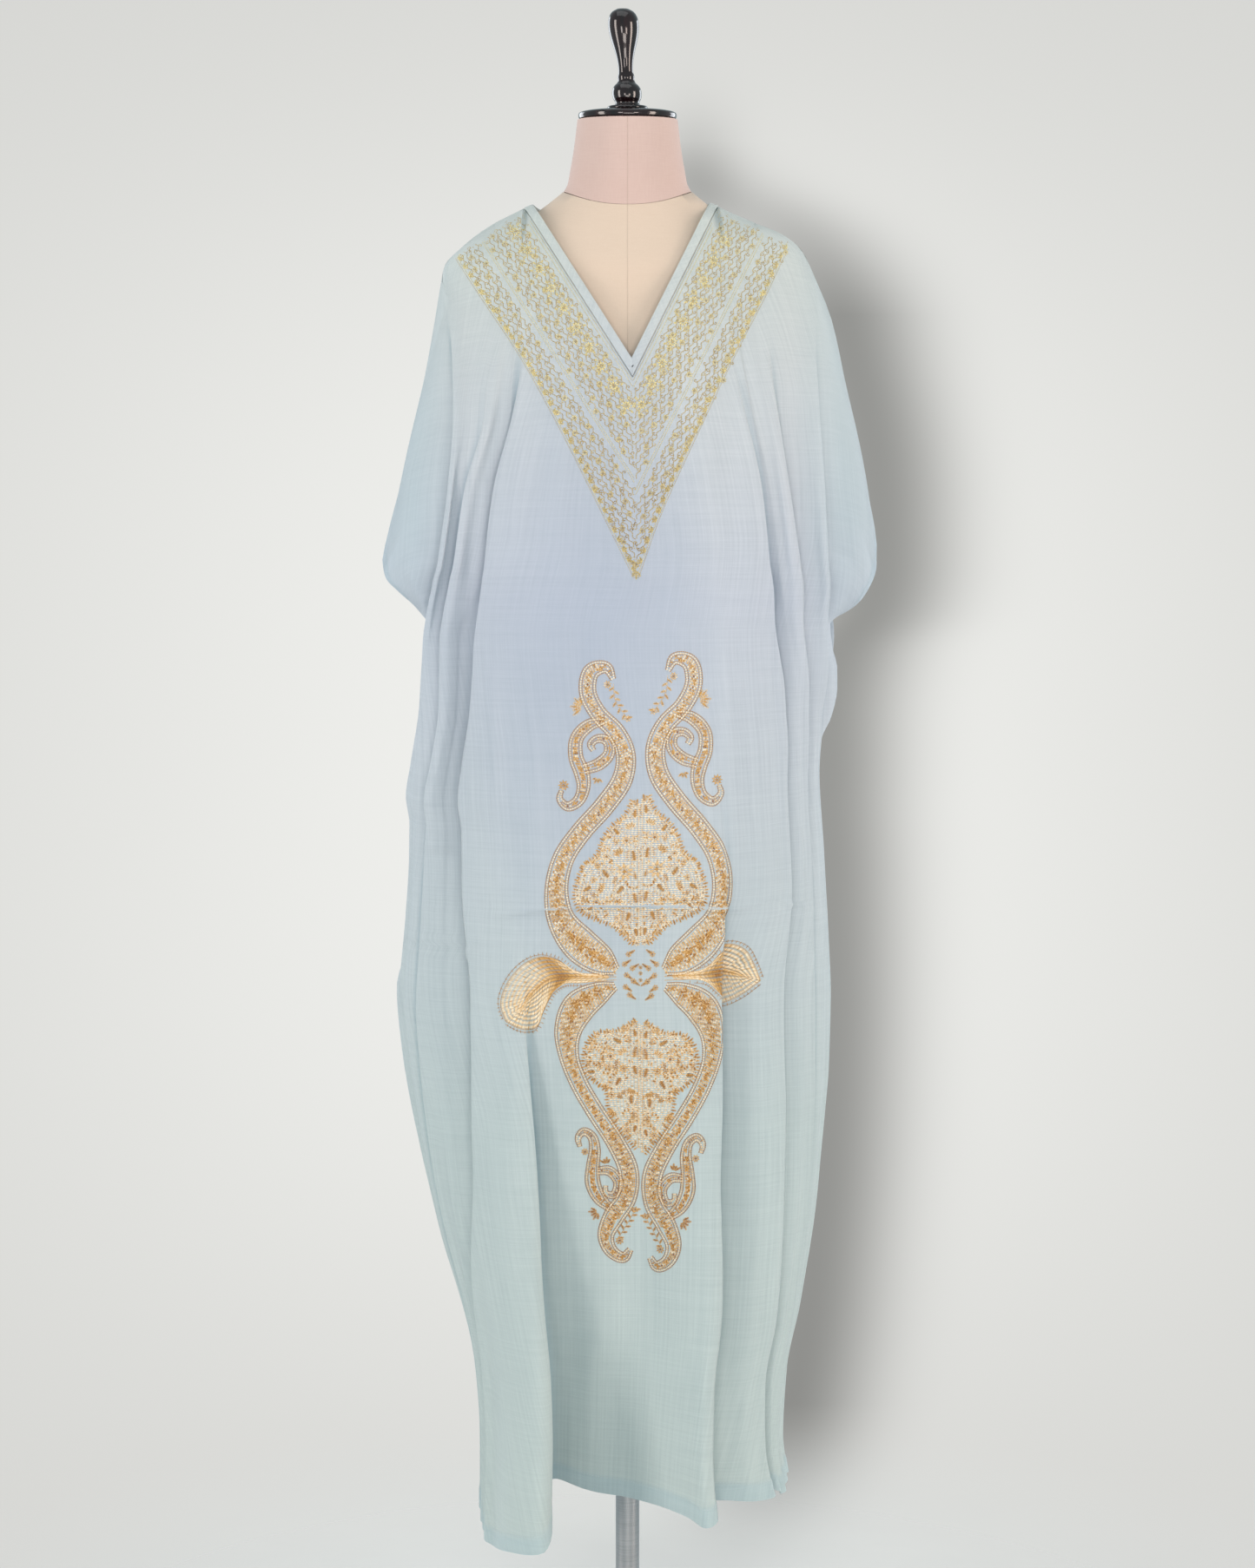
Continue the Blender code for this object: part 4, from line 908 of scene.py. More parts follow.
class Threadwork:
    """Stitches drawn on flat cloth: start, end, width, rise and shade of each."""

    def __init__(self, seed):
        self.rows = []
        self.chance = np.random.default_rng(seed)

    def add(self, starts, ends, width, rise, shade):
        starts, ends = np.atleast_2d(starts), np.atleast_2d(ends)
        spare = (ends - starts) * 0.09
        rest = np.empty((len(starts), 3))
        rest[:, 0], rest[:, 1], rest[:, 2] = width, rise, shade
        rest[:, 2] += self.chance.normal(0, 0.07, len(starts))
        self.rows.append(np.concatenate([starts - spare, ends + spare, rest], axis=1))

    def line(self, points, pitch=2.6, width=1.0, rise=0.55, shade=WARM, keep=None):
        """Chain stitches end to end; shade may follow the length, and keep drops some."""
        points = np.asarray(points, float)
        run = run_along(points)
        at = np.linspace(0, run[-1], max(1, int(round(run[-1] / pitch))) + 1)
        stops = on_line(points, run, at)
        middle = (at[1:] + at[:-1]) / 2
        shades = shade(middle) if callable(shade) else shade
        if keep is None:
            self.add(stops[:-1], stops[1:], width, rise, shades)
            return
        kept = keep(middle / run[-1])
        shades = shades[kept] if np.ndim(shades) else shades
        self.add(stops[:-1][kept], stops[1:][kept], width, rise, shades)

    def scroll(self, chart, motif=13.0, border=PALE, ground=WARM):
        """A broad band: beads between two fine rows down each edge, its ground worked in even rows."""
        centre = flowing(chart)
        line = centre[:, :2]
        run = run_along(line)
        half = centre[:, 2] / 2
        wide = lambda share, least: np.interp(share, run / run[-1], half) > least
        for side in (-1, 1):
            self.line(beside(line, side * half), 2.0, 1.25, 0.7, DARK + 0.02)
            inner = np.clip(half - 1.5, 0.2, None)
            self.line(beside(line, side * inner), 2.6, 2.0, 1.0, border + 0.06, lambda at: wide(at, 1.9))
            inner = np.clip(half - 2.9, 0.2, None)
            self.line(beside(line, side * inner), 2.0, 1.2, 0.6, DARK + 0.06, lambda at: wide(at, 3.4))
        most = int((half.max() - 4.2) / GROUND_ROW)
        for k in range(-most, most + 1):

            def mottled(at):
                place = k * GROUND_ROW / np.maximum(1.0, np.interp(at / run[-1], run / run[-1], half) - 3.0)
                spray = bell(((at + 3.0 * (k % 2)) % motif) / motif - 0.5, 0.2)
                tone = ground + 0.20 + 0.20 * np.sin(2.4 * k + at * 1.1)
                return tone - 0.6 * spray * bell(place, 0.7)

            self.line(beside(line, k * GROUND_ROW), 2.7, 2.3, 0.5, mottled,
                      lambda at: wide(at, abs(k) * GROUND_ROW + 4.0))
        for at in np.arange(motif * 0.6, run[-1] - motif * 0.5, motif * 1.1):
            place = int(np.searchsorted(run, at))
            if half[place] > 4.6:
                way = line[min(place + 3, len(line) - 1)] - line[place - 3]
                turn = math.degrees(math.atan2(way[1], way[0]))
                size = 0.52 * (half[place] - 2.2)
                self.cluster(line[place] + self.chance.normal(0, 0.8, 2), size, turn, DARK + 0.12)

    def cluster(self, centre, size, turn, shade=DARK):
        """Short leaves crowded together along a line, darkest at the heart."""
        along = heading(math.radians(turn))
        across = np.array([-along[1], along[0]])
        for _ in range(int(3 + size * 0.9)):
            place = self.chance.uniform(-1, 1)
            side = self.chance.uniform(-1, 1) * math.sqrt(1 - place * place)
            base = np.array(centre, float) + along * place * size + across * side * size * 0.48
            lean = math.radians(turn) + 1.1 * side + self.chance.normal(0, 0.3)
            way = heading(lean) * (2.4 + size * 0.22)
            self.leaf(base - way * 0.4, base + way * 0.6, 3.0, shade + 0.25 * abs(side))

    def rosette(self, centre, radius, petals=7, shade=WARM, heart=DARK):
        angle = np.arange(petals) * 2 * math.pi / petals + 0.3
        way = np.stack([np.cos(angle), np.sin(angle)], axis=1)
        centre = np.array(centre, float)
        self.add(centre + way * radius * 0.25, centre + way * radius, radius * 3.6 / petals, 0.7, shade)
        self.add(centre - (radius * 0.28, 0), centre + (radius * 0.28, 0), radius * 0.5, 1.0, heart)

    def leaf(self, base, tip, width, shade=WARM):
        """A leaf of two bowed edges and a filled middle."""
        base, tip = np.array(base, float), np.array(tip, float)
        share = np.linspace(0, 1, 6)
        spine = base + (tip - base) * share[:, None]
        bow = np.sin(math.pi * share) * width / 2
        for side in (-1, 1):
            self.line(beside(spine, side * bow), 2.2, 1.0, 0.55, shade + 0.14)
        self.add(base + (tip - base) * 0.12, tip - (tip - base) * 0.15, width * 0.6, 0.6, shade - 0.2)

    def drop(self, centre, size, turn, hand=1, shade=WARM):
        """A curled drop: outline, inner row, dark hatched heart and a comb of short spikes."""
        share = np.linspace(0, 1, 15)
        spine = np.stack([hand * size * 0.75 * share ** 2.4, size * (2.1 * share - 0.85)], axis=1)
        half = size * 0.78 * np.sin(math.pi * share ** 0.6) ** 0.9 * (1.02 - share) ** 0.3
        turn = math.radians(turn)
        spin = np.array([[math.cos(turn), math.sin(turn)], [-math.sin(turn), math.cos(turn)]])
        edges = [beside(spine, side * half) for side in (-1, 1)]
        inner = [beside(spine, side * half * 0.62) for side in (-1, 1)]
        for side, edge in zip((-1, 1), edges):
            self.line(edge @ spin + centre, 2.0, 1.35, 0.8, shade + 0.3)
            out = beside(edge, side) - edge
            for k in range(2, 12, 2):
                self.add((edge[k] + out[k] * 0.6) @ spin + centre,
                         (edge[k] + out[k] * (1.9 + size * 0.24)) @ spin + centre, 1.1, 0.5, shade - 0.15)
        for left, right in zip(inner[0][1:10], inner[1][1:10]):
            self.add(left @ spin + centre, right @ spin + centre, 1.4, 0.7, DARK + 0.1)

    def curl(self, centre, size, turn, hand=1, shade=WARM):
        """A round tendril with short leaves on its back."""
        line = ringed(centre, (size, size * 0.22), turn, 400 * hand, 20)
        self.line(line, 2.0, 1.35, 0.7, shade + 0.22)
        for k in range(0, 11, 2):
            way = (line[k] - centre) / size
            self.leaf(line[k], line[k] + way * size * 0.7, size * 0.42, shade - 0.12)

    def fan(self, centre, radius, start, sweep, petals, shade=WARM):
        """A tuft of petals that spring from one place."""
        centre = np.array(centre, float)
        for k in range(petals):
            angle = math.radians(start + sweep * k / max(1, petals - 1))
            way = heading(angle)
            reach = radius * (0.82 + 0.18 * (k % 2))
            self.leaf(centre + way * radius * 0.15, centre + way * reach, radius * 0.3, shade)

    def sprig(self, points, leaf=4.0, shade=WARM):
        """A stem with pairs of leaves and a flower at its end."""
        stem = flowing(points, 6)
        self.line(stem, 2.0, 0.8, 0.55, shade)
        run = run_along(stem)
        for k, at in enumerate(np.arange(leaf * 0.6, run[-1], leaf * 0.62)):
            base = on_line(stem, run, at)
            ahead = on_line(stem, run, at + 1) - base
            angle = math.atan2(ahead[1], ahead[0]) + (1 if k % 2 else -1) * 0.95
            self.leaf(base, base + leaf * heading(angle), leaf * 0.42, shade)
        self.rosette(stem[-1], leaf * 0.6, 6, shade + 0.1)

    def mirrored(self, axis, stretch=1.0, waist=0.0):
        """The same stitches on the other side of an upright axis, a little taller about the waist."""
        rows = np.concatenate(self.rows)
        rows[:, [0, 2]] = 2 * axis - rows[:, [0, 2]]
        rows[:, [1, 3]] = waist + (rows[:, [1, 3]] - waist) * stretch
        return rows

    def piece(self, name, rows, sheet, look, by_width=False):
        """One mesh of small closed loops of thread, laid on the cloth."""
        start, start_up = sheet.at(rows[:, 0:2], by_width)
        end, end_up = sheet.at(rows[:, 2:4], by_width)
        middle, up = sheet.at((rows[:, 0:2] + rows[:, 2:4]) / 2, by_width)
        drawn = np.linalg.norm(rows[:, 2:4] - rows[:, 0:2], axis=1)
        laid = np.linalg.norm(end - start, axis=1)
        fits = (laid < drawn * LONGEST_STRETCH + 0.6) & (laid > 0.2)
        return loops_of_thread(name, start[fits], end[fits], middle[fits], start_up[fits], end_up[fits],
                               up[fits], rows[fits, 4], rows[fits, 5], rows[fits, 6], look)


def loops_of_thread(name, start, end, middle, start_up, end_up, up, width, rise, shade, look):
    """A closed lozenge for each stitch: its two ends, two sides, crown and root."""
    half = (width / 2)[:, None] * unit(np.cross(up, end - start))
    points = np.stack([start + STITCH_LIFT * start_up, end + STITCH_LIFT * end_up,
                       middle + half + STITCH_LIFT * up, middle - half + STITCH_LIFT * up,
                       middle + rise[:, None] * up, middle + STITCH_ROOT * up], axis=1)
    ring = np.array([(0, 3), (3, 1), (1, 2), (2, 0)])
    pattern = np.array([(a, b, 4) for a, b in ring] + [(b, a, 5) for a, b in ring])
    faces = (pattern[None] + 6 * np.arange(len(start))[:, None, None]).reshape(-1, 3)
    mesh = new_mesh(name, points, faces.tolist())
    tint = mesh.attributes.new("shade", "FLOAT", "POINT")
    tint.data.foreach_set("value", np.repeat(np.clip(shade, 0, 1), 6).astype(np.float32))
    mesh.materials.append(look)
    return place_piece(name, mesh, 180)


# The medallion's centre line, its waist, and how much taller its right half is
MEDALLION_AXIS = 13.0
MEDALLION_WAIST = 797.0
RIGHT_STRETCH = 1.028
# Its left half, charted: out from the centre line, level and width
UPPER_SCROLL = ((-27, 1091, 5), (-34, 1103, 11), (-49, 1099, 16), (-53, 1079, 17), (-43, 1058, 17),
                (-24, 1038, 18), (-15, 1017, 19), (-18, 992, 20), (-36, 965, 20), (-59, 939, 20),
                (-77, 912, 21), (-84, 880, 23), (-79, 850, 28), (-61, 826, 36), (-39, 809, 30),
                (-24, 799, 10))
UPPER_OUTER_CURL = ((-36, 1050, 7), (-52, 1045, 12), (-64, 1032, 13), (-65, 1014, 14), (-59, 998, 15),
                    (-57, 984, 13), (-62, 970, 11), (-73, 964, 9), (-81, 972, 6), (-79, 980, 4))
UPPER_INNER_CURL = ((-57, 1001, 10), (-41, 1007, 12), (-31, 1018, 11), (-33, 1030, 10), (-43, 1032, 8),
                    (-50, 1026, 7), (-47, 1020, 5))
LOWER_SCROLL = ((-25, 784, 8), (-42, 776, 24), (-62, 762, 33), (-73, 738, 27), (-72, 712, 20),
                (-62, 685, 18), (-45, 655, 18), (-24, 622, 19), (-12, 594, 20), (-14, 567, 20),
                (-27, 546, 21), (-35, 525, 16), (-29, 509, 13), (-17, 503, 11), (-10, 512, 6))
LOWER_OUTER_CURL = ((-29, 554, 8), (-41, 565, 13), (-48, 581, 15), (-48, 599, 13), (-46, 617, 11),
                    (-49, 630, 9), (-57, 635, 8), (-63, 628, 6), (-61, 619, 4))
LOWER_INNER_CURL = ((-43, 594, 8), (-31, 594, 10), (-22, 582, 10), (-27, 569, 8), (-35, 571, 6),
                    (-35, 579, 4))
# Half widths of the two pointed grounds that hold a flowering tree
UPPER_GROUND = ((825, 6), (831, 13), (844, 26), (851, 44), (859, 60), (871, 66), (893, 62), (906, 55),
                (916, 43), (930, 38), (944, 29), (956, 15), (971, 8))
LOWER_GROUND = ((616, 4), (627, 12), (642, 25), (658, 32), (678, 35), (689, 49), (702, 57), (722, 55),
                (735, 46), (738, 24), (744, 13), (750, 4))
# Crowded leaves where the scrolls meet: out, level, size, turn and shade
WAIST_CLUSTERS = ((-57, 822, 16, -48, DARK), (-42, 811, 11, -30, DARK + 0.06), (-52, 772, 15, 24, DARK),
                  (-69, 757, 10, 80, DARK + 0.04))
# Small rosettes down the middle between the grounds: out and level
MIDDLE_ROSETTES = ((-12, 816), (-16, 806), (-8, 802), (-14, 795), (-7, 789), (-15, 783), (-11, 775))
# The winged leaves: spine, then upper and lower edge from root to tip
LEFT_WING = (((-24, 793), (-66, 793), (-92, 790), (-112, 772), (-128, 748)),
             ((-24, 796), (-66, 798), (-80, 808), (-98, 813), (-116, 806), (-133, 788), (-143, 764),
              (-139, 747)),
             ((-24, 790), (-60, 787), (-76, 786), (-88, 777), (-97, 760), (-106, 740), (-124, 740),
              (-139, 747)))
RIGHT_WING = (((24, 794), (66, 795), (92, 797), (118, 794), (138, 787)),
              ((24, 797), (66, 801), (82, 816), (104, 824), (124, 818), (138, 802), (148, 786)),
              ((24, 790), (64, 789), (78, 778), (92, 764), (112, 764), (132, 773), (148, 786)))
# Stitches along a wing's edge, the one where it is broad, and how far along the spine they reach
WING_STITCHES = 104
WING_BROAD = 54
WING_CORE = 0.86
# How much the motifs are enlarged, and how many places are tried for the small sprays between them
MOTIF_SCALE = 1.14
SPRAY_TRIES = 2600


def wing(work, chart):
    """A broad leaf worked in long fine stitches, its edge combed with short spikes."""
    spine, upper, lower = (flowing([(MEDALLION_AXIS + x, z) for x, z in line], 10) for line in chart)
    for edge, side in ((upper, 1), (lower, -1)):
        share = np.linspace(0, 1, WING_STITCHES)
        reach = np.linspace(0, len(edge) - 1, WING_STITCHES)
        rim = on_line(edge, np.arange(len(edge)), reach)
        core = on_line(spine, np.arange(len(spine)), reach * WING_CORE * (len(spine) - 1) / (len(edge) - 1))
        for k in range(5, WING_STITCHES):
            tone = PALE - 0.5 * math.exp(-((share[k] - 0.42) / 0.10) ** 2) - 0.22 * (k % 4 == 0)
            work.line([core[k], rim[k]], 4.6, 1.5, 0.5, lambda at: tone - 0.35 * np.exp(-at / 4.5))
        work.line(edge, 2.2, 1.0, 0.75, WARM)
        broad = rim[WING_BROAD] - core[WING_BROAD]
        work.line(edge + broad / 9, 2.2, 0.8, 0.6, DARK, lambda at: at > 0.2)
        away = beside(edge, side * side_of(edge[-1, 0] - edge[0, 0])) - edge
        for k in range(6, len(edge) - 1, 2):
            work.add(edge[k] + away[k], edge[k] + away[k] * 4.6, 0.9, 0.5, 0.3)
    work.line(spine, 2.4, 1.1, 0.8, WARM)


# Motifs of the flowering grounds: kind, out from the middle line, level, size, turn and hand
UPPER_MOTIFS = (("drop", -6, 958, 5.0, 8, 1), ("fan", -9, 944, 8, 60, 1),
                ("drop", -24, 940, 4.6, 30, -1), ("flower", -14, 930, 5.5, 0, 1),
                ("curl", -32, 927, 4.6, 90, 1), ("drop", -6, 916, 6.2, 0, -1),
                ("fan", -20, 918, 8, 70, 1), ("flower", -34, 914, 4.6, 0, 1),
                ("curl", -52, 900, 6.6, 20, 1), ("flower", -16, 899, 8.0, 0, 1),
                ("drop", -36, 897, 5.8, 50, 1), ("leaf", -5, 894, 8, 100, 1),
                ("drop", -54, 882, 5.2, 110, -1), ("fan", -36, 883, 8, 100, 1),
                ("drop", -20, 880, 5.8, 150, 1), ("drop", -6, 872, 6.0, 180, -1),
                ("flower", -44, 868, 5.0, 0, 1), ("curl", -27, 862, 6.0, 200, -1),
                ("drop", -50, 862, 4.0, 140, 1), ("drop", -12, 853, 5.4, 170, 1),
                ("leaf", -34, 855, 7, 220, 1), ("drop", -5, 838, 4.6, 180, -1))
LOWER_MOTIFS = (("drop", -5, 737, 4.6, 0, -1), ("drop", -24, 728, 5.6, 70, 1),
                ("drop", -6, 718, 6.6, 0, 1), ("curl", -41, 728, 4.2, 100, 1),
                ("fan", -16, 717, 8, 80, 1), ("flower", -30, 712, 5.2, 0, 1),
                ("curl", -46, 711, 5.6, 30, -1), ("drop", -50, 696, 4.6, 100, 1),
                ("drop", -6, 698, 5.6, 180, -1), ("flower", -17, 700, 4.8, 0, 1),
                ("curl", -37, 690, 6.0, 240, 1), ("drop", -22, 686, 5.6, 160, 1),
                ("fan", -8, 682, 7, 200, 1), ("flower", -29, 673, 4.6, 0, 1),
                ("drop", -10, 668, 5.6, 170, -1), ("fan", -26, 660, 8, 180, 1),
                ("curl", -14, 652, 4.8, 300, 1), ("leaf", -24, 647, 7, 230, 1),
                ("drop", -5, 638, 4.4, 180, 1), ("flower", -14, 636, 4.0, 0, 1),
                ("leaf", -5, 624, 6, 260, 1))


def flowering_ground(work, table, motifs):
    """A tree of drops, curls and flowers that fills half of a pointed ground, small sprays between."""
    level, half = np.array(table, float).T
    middle = MEDALLION_AXIS - 2.0
    work.line([(middle, level[0] + 4), (middle, level[-1] - 4)], 2.2, 1.1, 0.75, WARM + 0.2)
    for k, z in enumerate(np.arange(level.min() + 3, level.max() - 3, 2.1)):
        reach = float(np.interp(z, level, half))
        work.line([(MEDALLION_AXIS - reach + 2.0, z + 0.8), (MEDALLION_AXIS + 0.3, z)], 3.4, 1.7, 0.3,
                  lambda at: PALE + 0.05 - 0.2 * (np.sin(at * 0.9 + k * 1.7) > 0.55))
    taken = []
    for rank, (kind, out, z, size, turn, hand) in enumerate(motifs):
        size = size * MOTIF_SCALE
        at = np.array((MEDALLION_AXIS + out, z), float)
        tone = WARM + 0.12 * math.sin(rank * 1.9)
        if kind == "drop":
            work.drop(at, size, turn, hand, tone)
        elif kind == "curl":
            work.curl(at, size, turn, hand, tone)
        elif kind == "flower":
            work.rosette(at, size, 9, tone + 0.25, DARK)
            work.line(ringed(at, size * 0.55, 0, 340, 12), 1.8, 0.9, 0.8, DARK + 0.1)
        elif kind == "fan":
            work.fan(at - (0, size * 0.3), size, turn, 100, 5, tone)
        else:
            way = heading(math.radians(turn)) * size
            work.leaf(at - way * 0.4, at + way * 0.6, size * 0.4, tone - 0.15)
        taken.append((*at, size * (1.25 if kind == "drop" else 1.0)))
    for _ in range(SPRAY_TRIES):
        z = work.chance.uniform(level[0] + 1, level[-1] - 1)
        reach = np.interp(z, level, half)
        x = MEDALLION_AXIS - work.chance.uniform(3.0, max(3.2, reach - 0.5))
        room = min(math.hypot(x - a, z - b) - c for a, b, c in taken)
        if room < 1.1:
            continue
        size = min(room, 3.0) + 0.5
        angle = work.chance.uniform(0.3, 2.8) if z > level.mean() else work.chance.uniform(3.4, 6.0)
        way = heading(angle) * (size + 1.2)
        tone = WARM + work.chance.uniform(-0.3, 0.3)
        if size > 2.3:
            work.rosette((x, z), size, 6, tone + 0.15, DARK + 0.1)
        else:
            work.leaf(np.array((x, z)) - way * 0.6, np.array((x, z)) + way * 0.7, 2.3, tone)
        taken.append((x, z, size * 0.62))
    rim = np.array([(MEDALLION_AXIS - w, z) for z, w in table], float)
    rim = through(rim, [6] * (len(rim) - 1))
    run = run_along(rim)
    out = beside(rim, 1.0) - rim
    if out[len(out) // 2, 0] > 0:
        out = -out
    for k, at in enumerate(np.arange(2, run[-1], 3.1)):
        base, way = on_line(rim, run, at), on_line(out, run, at)
        work.leaf(base - way * 2, base + way * (2.2 + 1.4 * (k % 2)), 1.7, WARM - 0.12 * (k % 3))


def medallion(sheet, look):
    """Scrolls, curls and flowering grounds, worked for one half and turned over for the other."""
    work = Threadwork(11)
    shift = lambda chart: [(MEDALLION_AXIS + row[0], *row[1:]) for row in chart]
    work.scroll(shift(UPPER_SCROLL), 12.5)
    work.scroll(shift(LOWER_SCROLL), 13.5)
    for chart in (UPPER_OUTER_CURL, UPPER_INNER_CURL, LOWER_OUTER_CURL, LOWER_INNER_CURL):
        work.scroll(shift(chart), 9.0, PALE - 0.12, WARM - 0.08)
    axis = MEDALLION_AXIS
    for out, z, size, turn, shade in WAIST_CLUSTERS:
        work.cluster((axis + out, z), size, turn, shade)
    flowering_ground(work, UPPER_GROUND, UPPER_MOTIFS)
    flowering_ground(work, LOWER_GROUND, LOWER_MOTIFS)
    work.fan((axis - 58, 1063), 13, 110, 110, 6, WARM)
    work.fan((axis - 43, 993), 7, 200, 120, 4, WARM - 0.1)
    work.rosette((axis - 77, 985), 5.5, 9, WARM - 0.1, DARK)
    work.sprig([(axis - 27, 1087), (axis - 25, 1070), (axis - 13, 1052)], 6.0, WARM - 0.05)
    work.rosette((axis - 33, 1086), 4.2, 8, WARM, DARK)
    work.rosette((axis - 56, 614), 4.0, 8, WARM, DARK)
    work.fan((axis - 34, 601), 8, 60, 90, 4, WARM - 0.15)
    work.fan((axis - 43, 551), 10, 150, 120, 5, WARM - 0.12)
    work.sprig([(axis - 24, 521), (axis - 15, 536), (axis - 5, 554)], 5.6, WARM - 0.05)
    work.rosette((axis - 21, 521), 4.6, 8, WARM, DARK)
    for out, z in MIDDLE_ROSETTES:
        work.rosette((axis + out, z), 3.3, 7, WARM, DARK)
        work.leaf((axis + out, z), (axis + out + 6.5, z + 4.5 * (1 if z > 796 else -1)), 2.6, WARM - 0.2)
    half = np.concatenate(work.rows)
    other = work.mirrored(axis, RIGHT_STRETCH, MEDALLION_WAIST)
    middle = Threadwork(12)
    wing(middle, LEFT_WING)
    wing(middle, RIGHT_WING)
    for z in (803, 797, 790):
        middle.rosette((axis, z), 2.4, 6, WARM, DARK)
    wings = np.concatenate(middle.rows)
    # Painted light and thread colour together: the stitches grow paler toward the top, where the light
    # washes the upper work, and warmer toward the foot.
    for rows in (half, other, wings):
        rows[:, 6] += 0.14 * (rows[:, 1] - 800) / 300
    split = half[:, 1] > MEDALLION_WAIST
    far = other[:, 1] > MEDALLION_WAIST
    for name, rows in (("medallion_top", np.concatenate([half[split], other[far]])),
                       ("medallion_foot", np.concatenate([half[~split], other[~far]])),
                       ("medallion_wings", wings)):
        work.piece(name, rows, sheet, look, by_width=True)


# The yoke: its outer edge from the shoulder to the tip, on the left and the right
YOKE_LEFT = ((-176, 1517), (-172, 1510), (-140, 1462), (-105, 1410), (-62, 1333), (-19, 1247), (8, 1192))
YOKE_RIGHT = ((168, 1527), (162, 1521), (137, 1472), (109, 1419), (67, 1333), (32, 1256), (9, 1192))
# Its rows: first, end and step out from the neck's edge. Where its flowers stand out from that edge and
# how far apart they are, where the plain braid runs, and how far its own middle line leans to the tip
YOKE_ROWS = (10.0, 104.0, 4.6)
YOKE_FLOWERS = 20.0
FLOWER_STEP = 23.0
YOKE_BRAID = 52.0
YOKE_LEAN = 4.0
YOKE_LEAN_DROP = 194.0


def yoke_side(work, side):
    """Half of the yoke: rows that follow the neck's edge out to a scalloped border."""
    low = np.array(NECK_V, float)
    point = np.array(NECK_POINT_LEFT if side < 0 else NECK_POINT_RIGHT, float)
    edge = flowing(YOKE_LEFT if side < 0 else YOKE_RIGHT, 10)
    along = (point - low) / np.linalg.norm(point - low)
    out = np.array([side * abs(along[1]), -abs(along[0])])
    shoulder = (point - low) @ along
    edge_out = (edge - low) @ out
    edge_along = (edge - low) @ along
    order = np.argsort(edge_along)
    axis_tilt = YOKE_LEAN / YOKE_LEAN_DROP

    def reach(away):
        """Where a row starts, on the yoke's own middle line, and ends, at the shoulder or the border."""
        down = np.linspace(0, 215, 400)
        centre = low + np.stack([axis_tilt * down, -down], axis=1)
        hit = np.argmin(np.abs((centre - low) @ out - away))
        first = (centre[hit] - low) @ along
        places = np.linspace(first, shoulder, 200)
        limit = np.interp(places, edge_along[order], edge_out[order])
        inside = places[limit >= away + 2.2]
        start, last = (inside[0], inside[-1]) if len(inside) else (first, first)
        return start, min(last, shoulder - 3 + away * 0.25)

    def row(away, wave=0.0, length=11.0):
        start, stop = reach(away)
        if stop - start < 6:
            return None
        at = np.arange(start + 1, stop - 1, 1.2)
        off = away + wave * np.sin(2 * math.pi * at / length)
        return low + at[:, None] * along + off[:, None] * out

    work.line(row(2.0), 2.4, 0.75, 0.45, PALE - 0.2)
    for away in (5.0, YOKE_BRAID, YOKE_BRAID + 2.2):
        work.line(row(away), 2.3, 0.85, 0.5, PALE)
    for rank, away in enumerate(np.arange(*YOKE_ROWS), 1):
        vine = row(away, 1.3, 9.0)
        if vine is None or abs(away - YOKE_BRAID - 1) < 3.2:
            continue
        warm = np.clip((1330 - vine[:, 1]) / 130, 0, 1).mean()
        tone = WARM - 0.02 - 0.25 * warm
        work.line(vine, 2.1, 1.35, 0.5, tone)
        for k, at in enumerate(vine[4 + (rank % 2) * 4:len(vine) - 3:8]):
            warm = np.clip((1340 - at[1]) / 120, 0, 1)
            tone = WARM - 0.12 + 0.22 * ((k + rank) % 3 == 0) - 0.25 * warm
            if (k + rank) % 5 == 0:
                work.rosette(at + out * 1.4, 3.3, 7, PALE - 0.08 - 0.3 * warm, WARM - 0.1 - 0.2 * warm)
                continue
            hand = 1 if k % 2 else -1
            start = math.degrees(math.atan2(-hand * out[1], -hand * out[0]))
            curl = ringed(at + hand * out * 2.2, (2.3, 0.7), start, 330 * hand, 9)
            work.line(curl, 1.7, 1.3, 0.5, tone)
    for at in np.arange(-20, shoulder - 10, FLOWER_STEP):
        centre = low + at * along + out * YOKE_FLOWERS
        if (centre[0] - low[0]) * side < 3:
            continue
        work.rosette(centre, 5.2, 9, PALE + 0.05, WARM)
        work.line(ringed(centre, 6.4, 20, 330, 16), 1.9, 0.75, 0.5, PALE - 0.05)
        for turn in np.arange(6) * math.pi / 3 + 0.2:
            way = heading(turn)
            work.leaf(centre + way * 6.6, centre + way * 9.6, 2.2, PALE)
    border = edge[6:]
    work.line(border, 2.3, 1.0, 0.6, PALE - 0.05)
    work.line(beside(border, 1.9 * side), 2.2, 0.7, 0.4, WARM)
    run = run_along(border)
    away = beside(border, -side) - border
    for at in np.arange(5, run[-1] - 6, 10.8):
        base, way = on_line(border, run, at), on_line(away, run, at)
        cross = np.array([-way[1], way[0]])
        tone = PALE - 0.05 - 0.3 * np.clip((1400 - base[1]) / 120, 0, 1)
        for lean in (-1, 0, 1):
            tip = base + way * (5.6 - 1.6 * abs(lean)) + cross * 3.6 * lean
            work.leaf(base, tip, 2.3, tone)
        work.add(base + way * 6.2, base + way * 7.6, 1.2, 0.7, tone + 0.1)


def yoke(sheet, look):
    """Both halves of the yoke, the tip's own tuft with the right one."""
    for side, name in ((-1, "yoke_left"), (1, "yoke_right")):
        work = Threadwork(21 + side)
        yoke_side(work, side)
        if side > 0:
            tip = np.array((8.6, 1193.0))
            work.fan(tip + (0, 6), 9, 235, 70, 3, WARM)
            work.rosette(tip + (0, 12), 3.6, 7, WARM + 0.1, DARK)
        work.piece(name, np.concatenate(work.rows), sheet, look)


# Machine stitches of the hem and cuffs: pitch, length, width, rise and shade
EDGE_STITCH = (3.2, 2.4, 0.7, 0.35, 0.5)


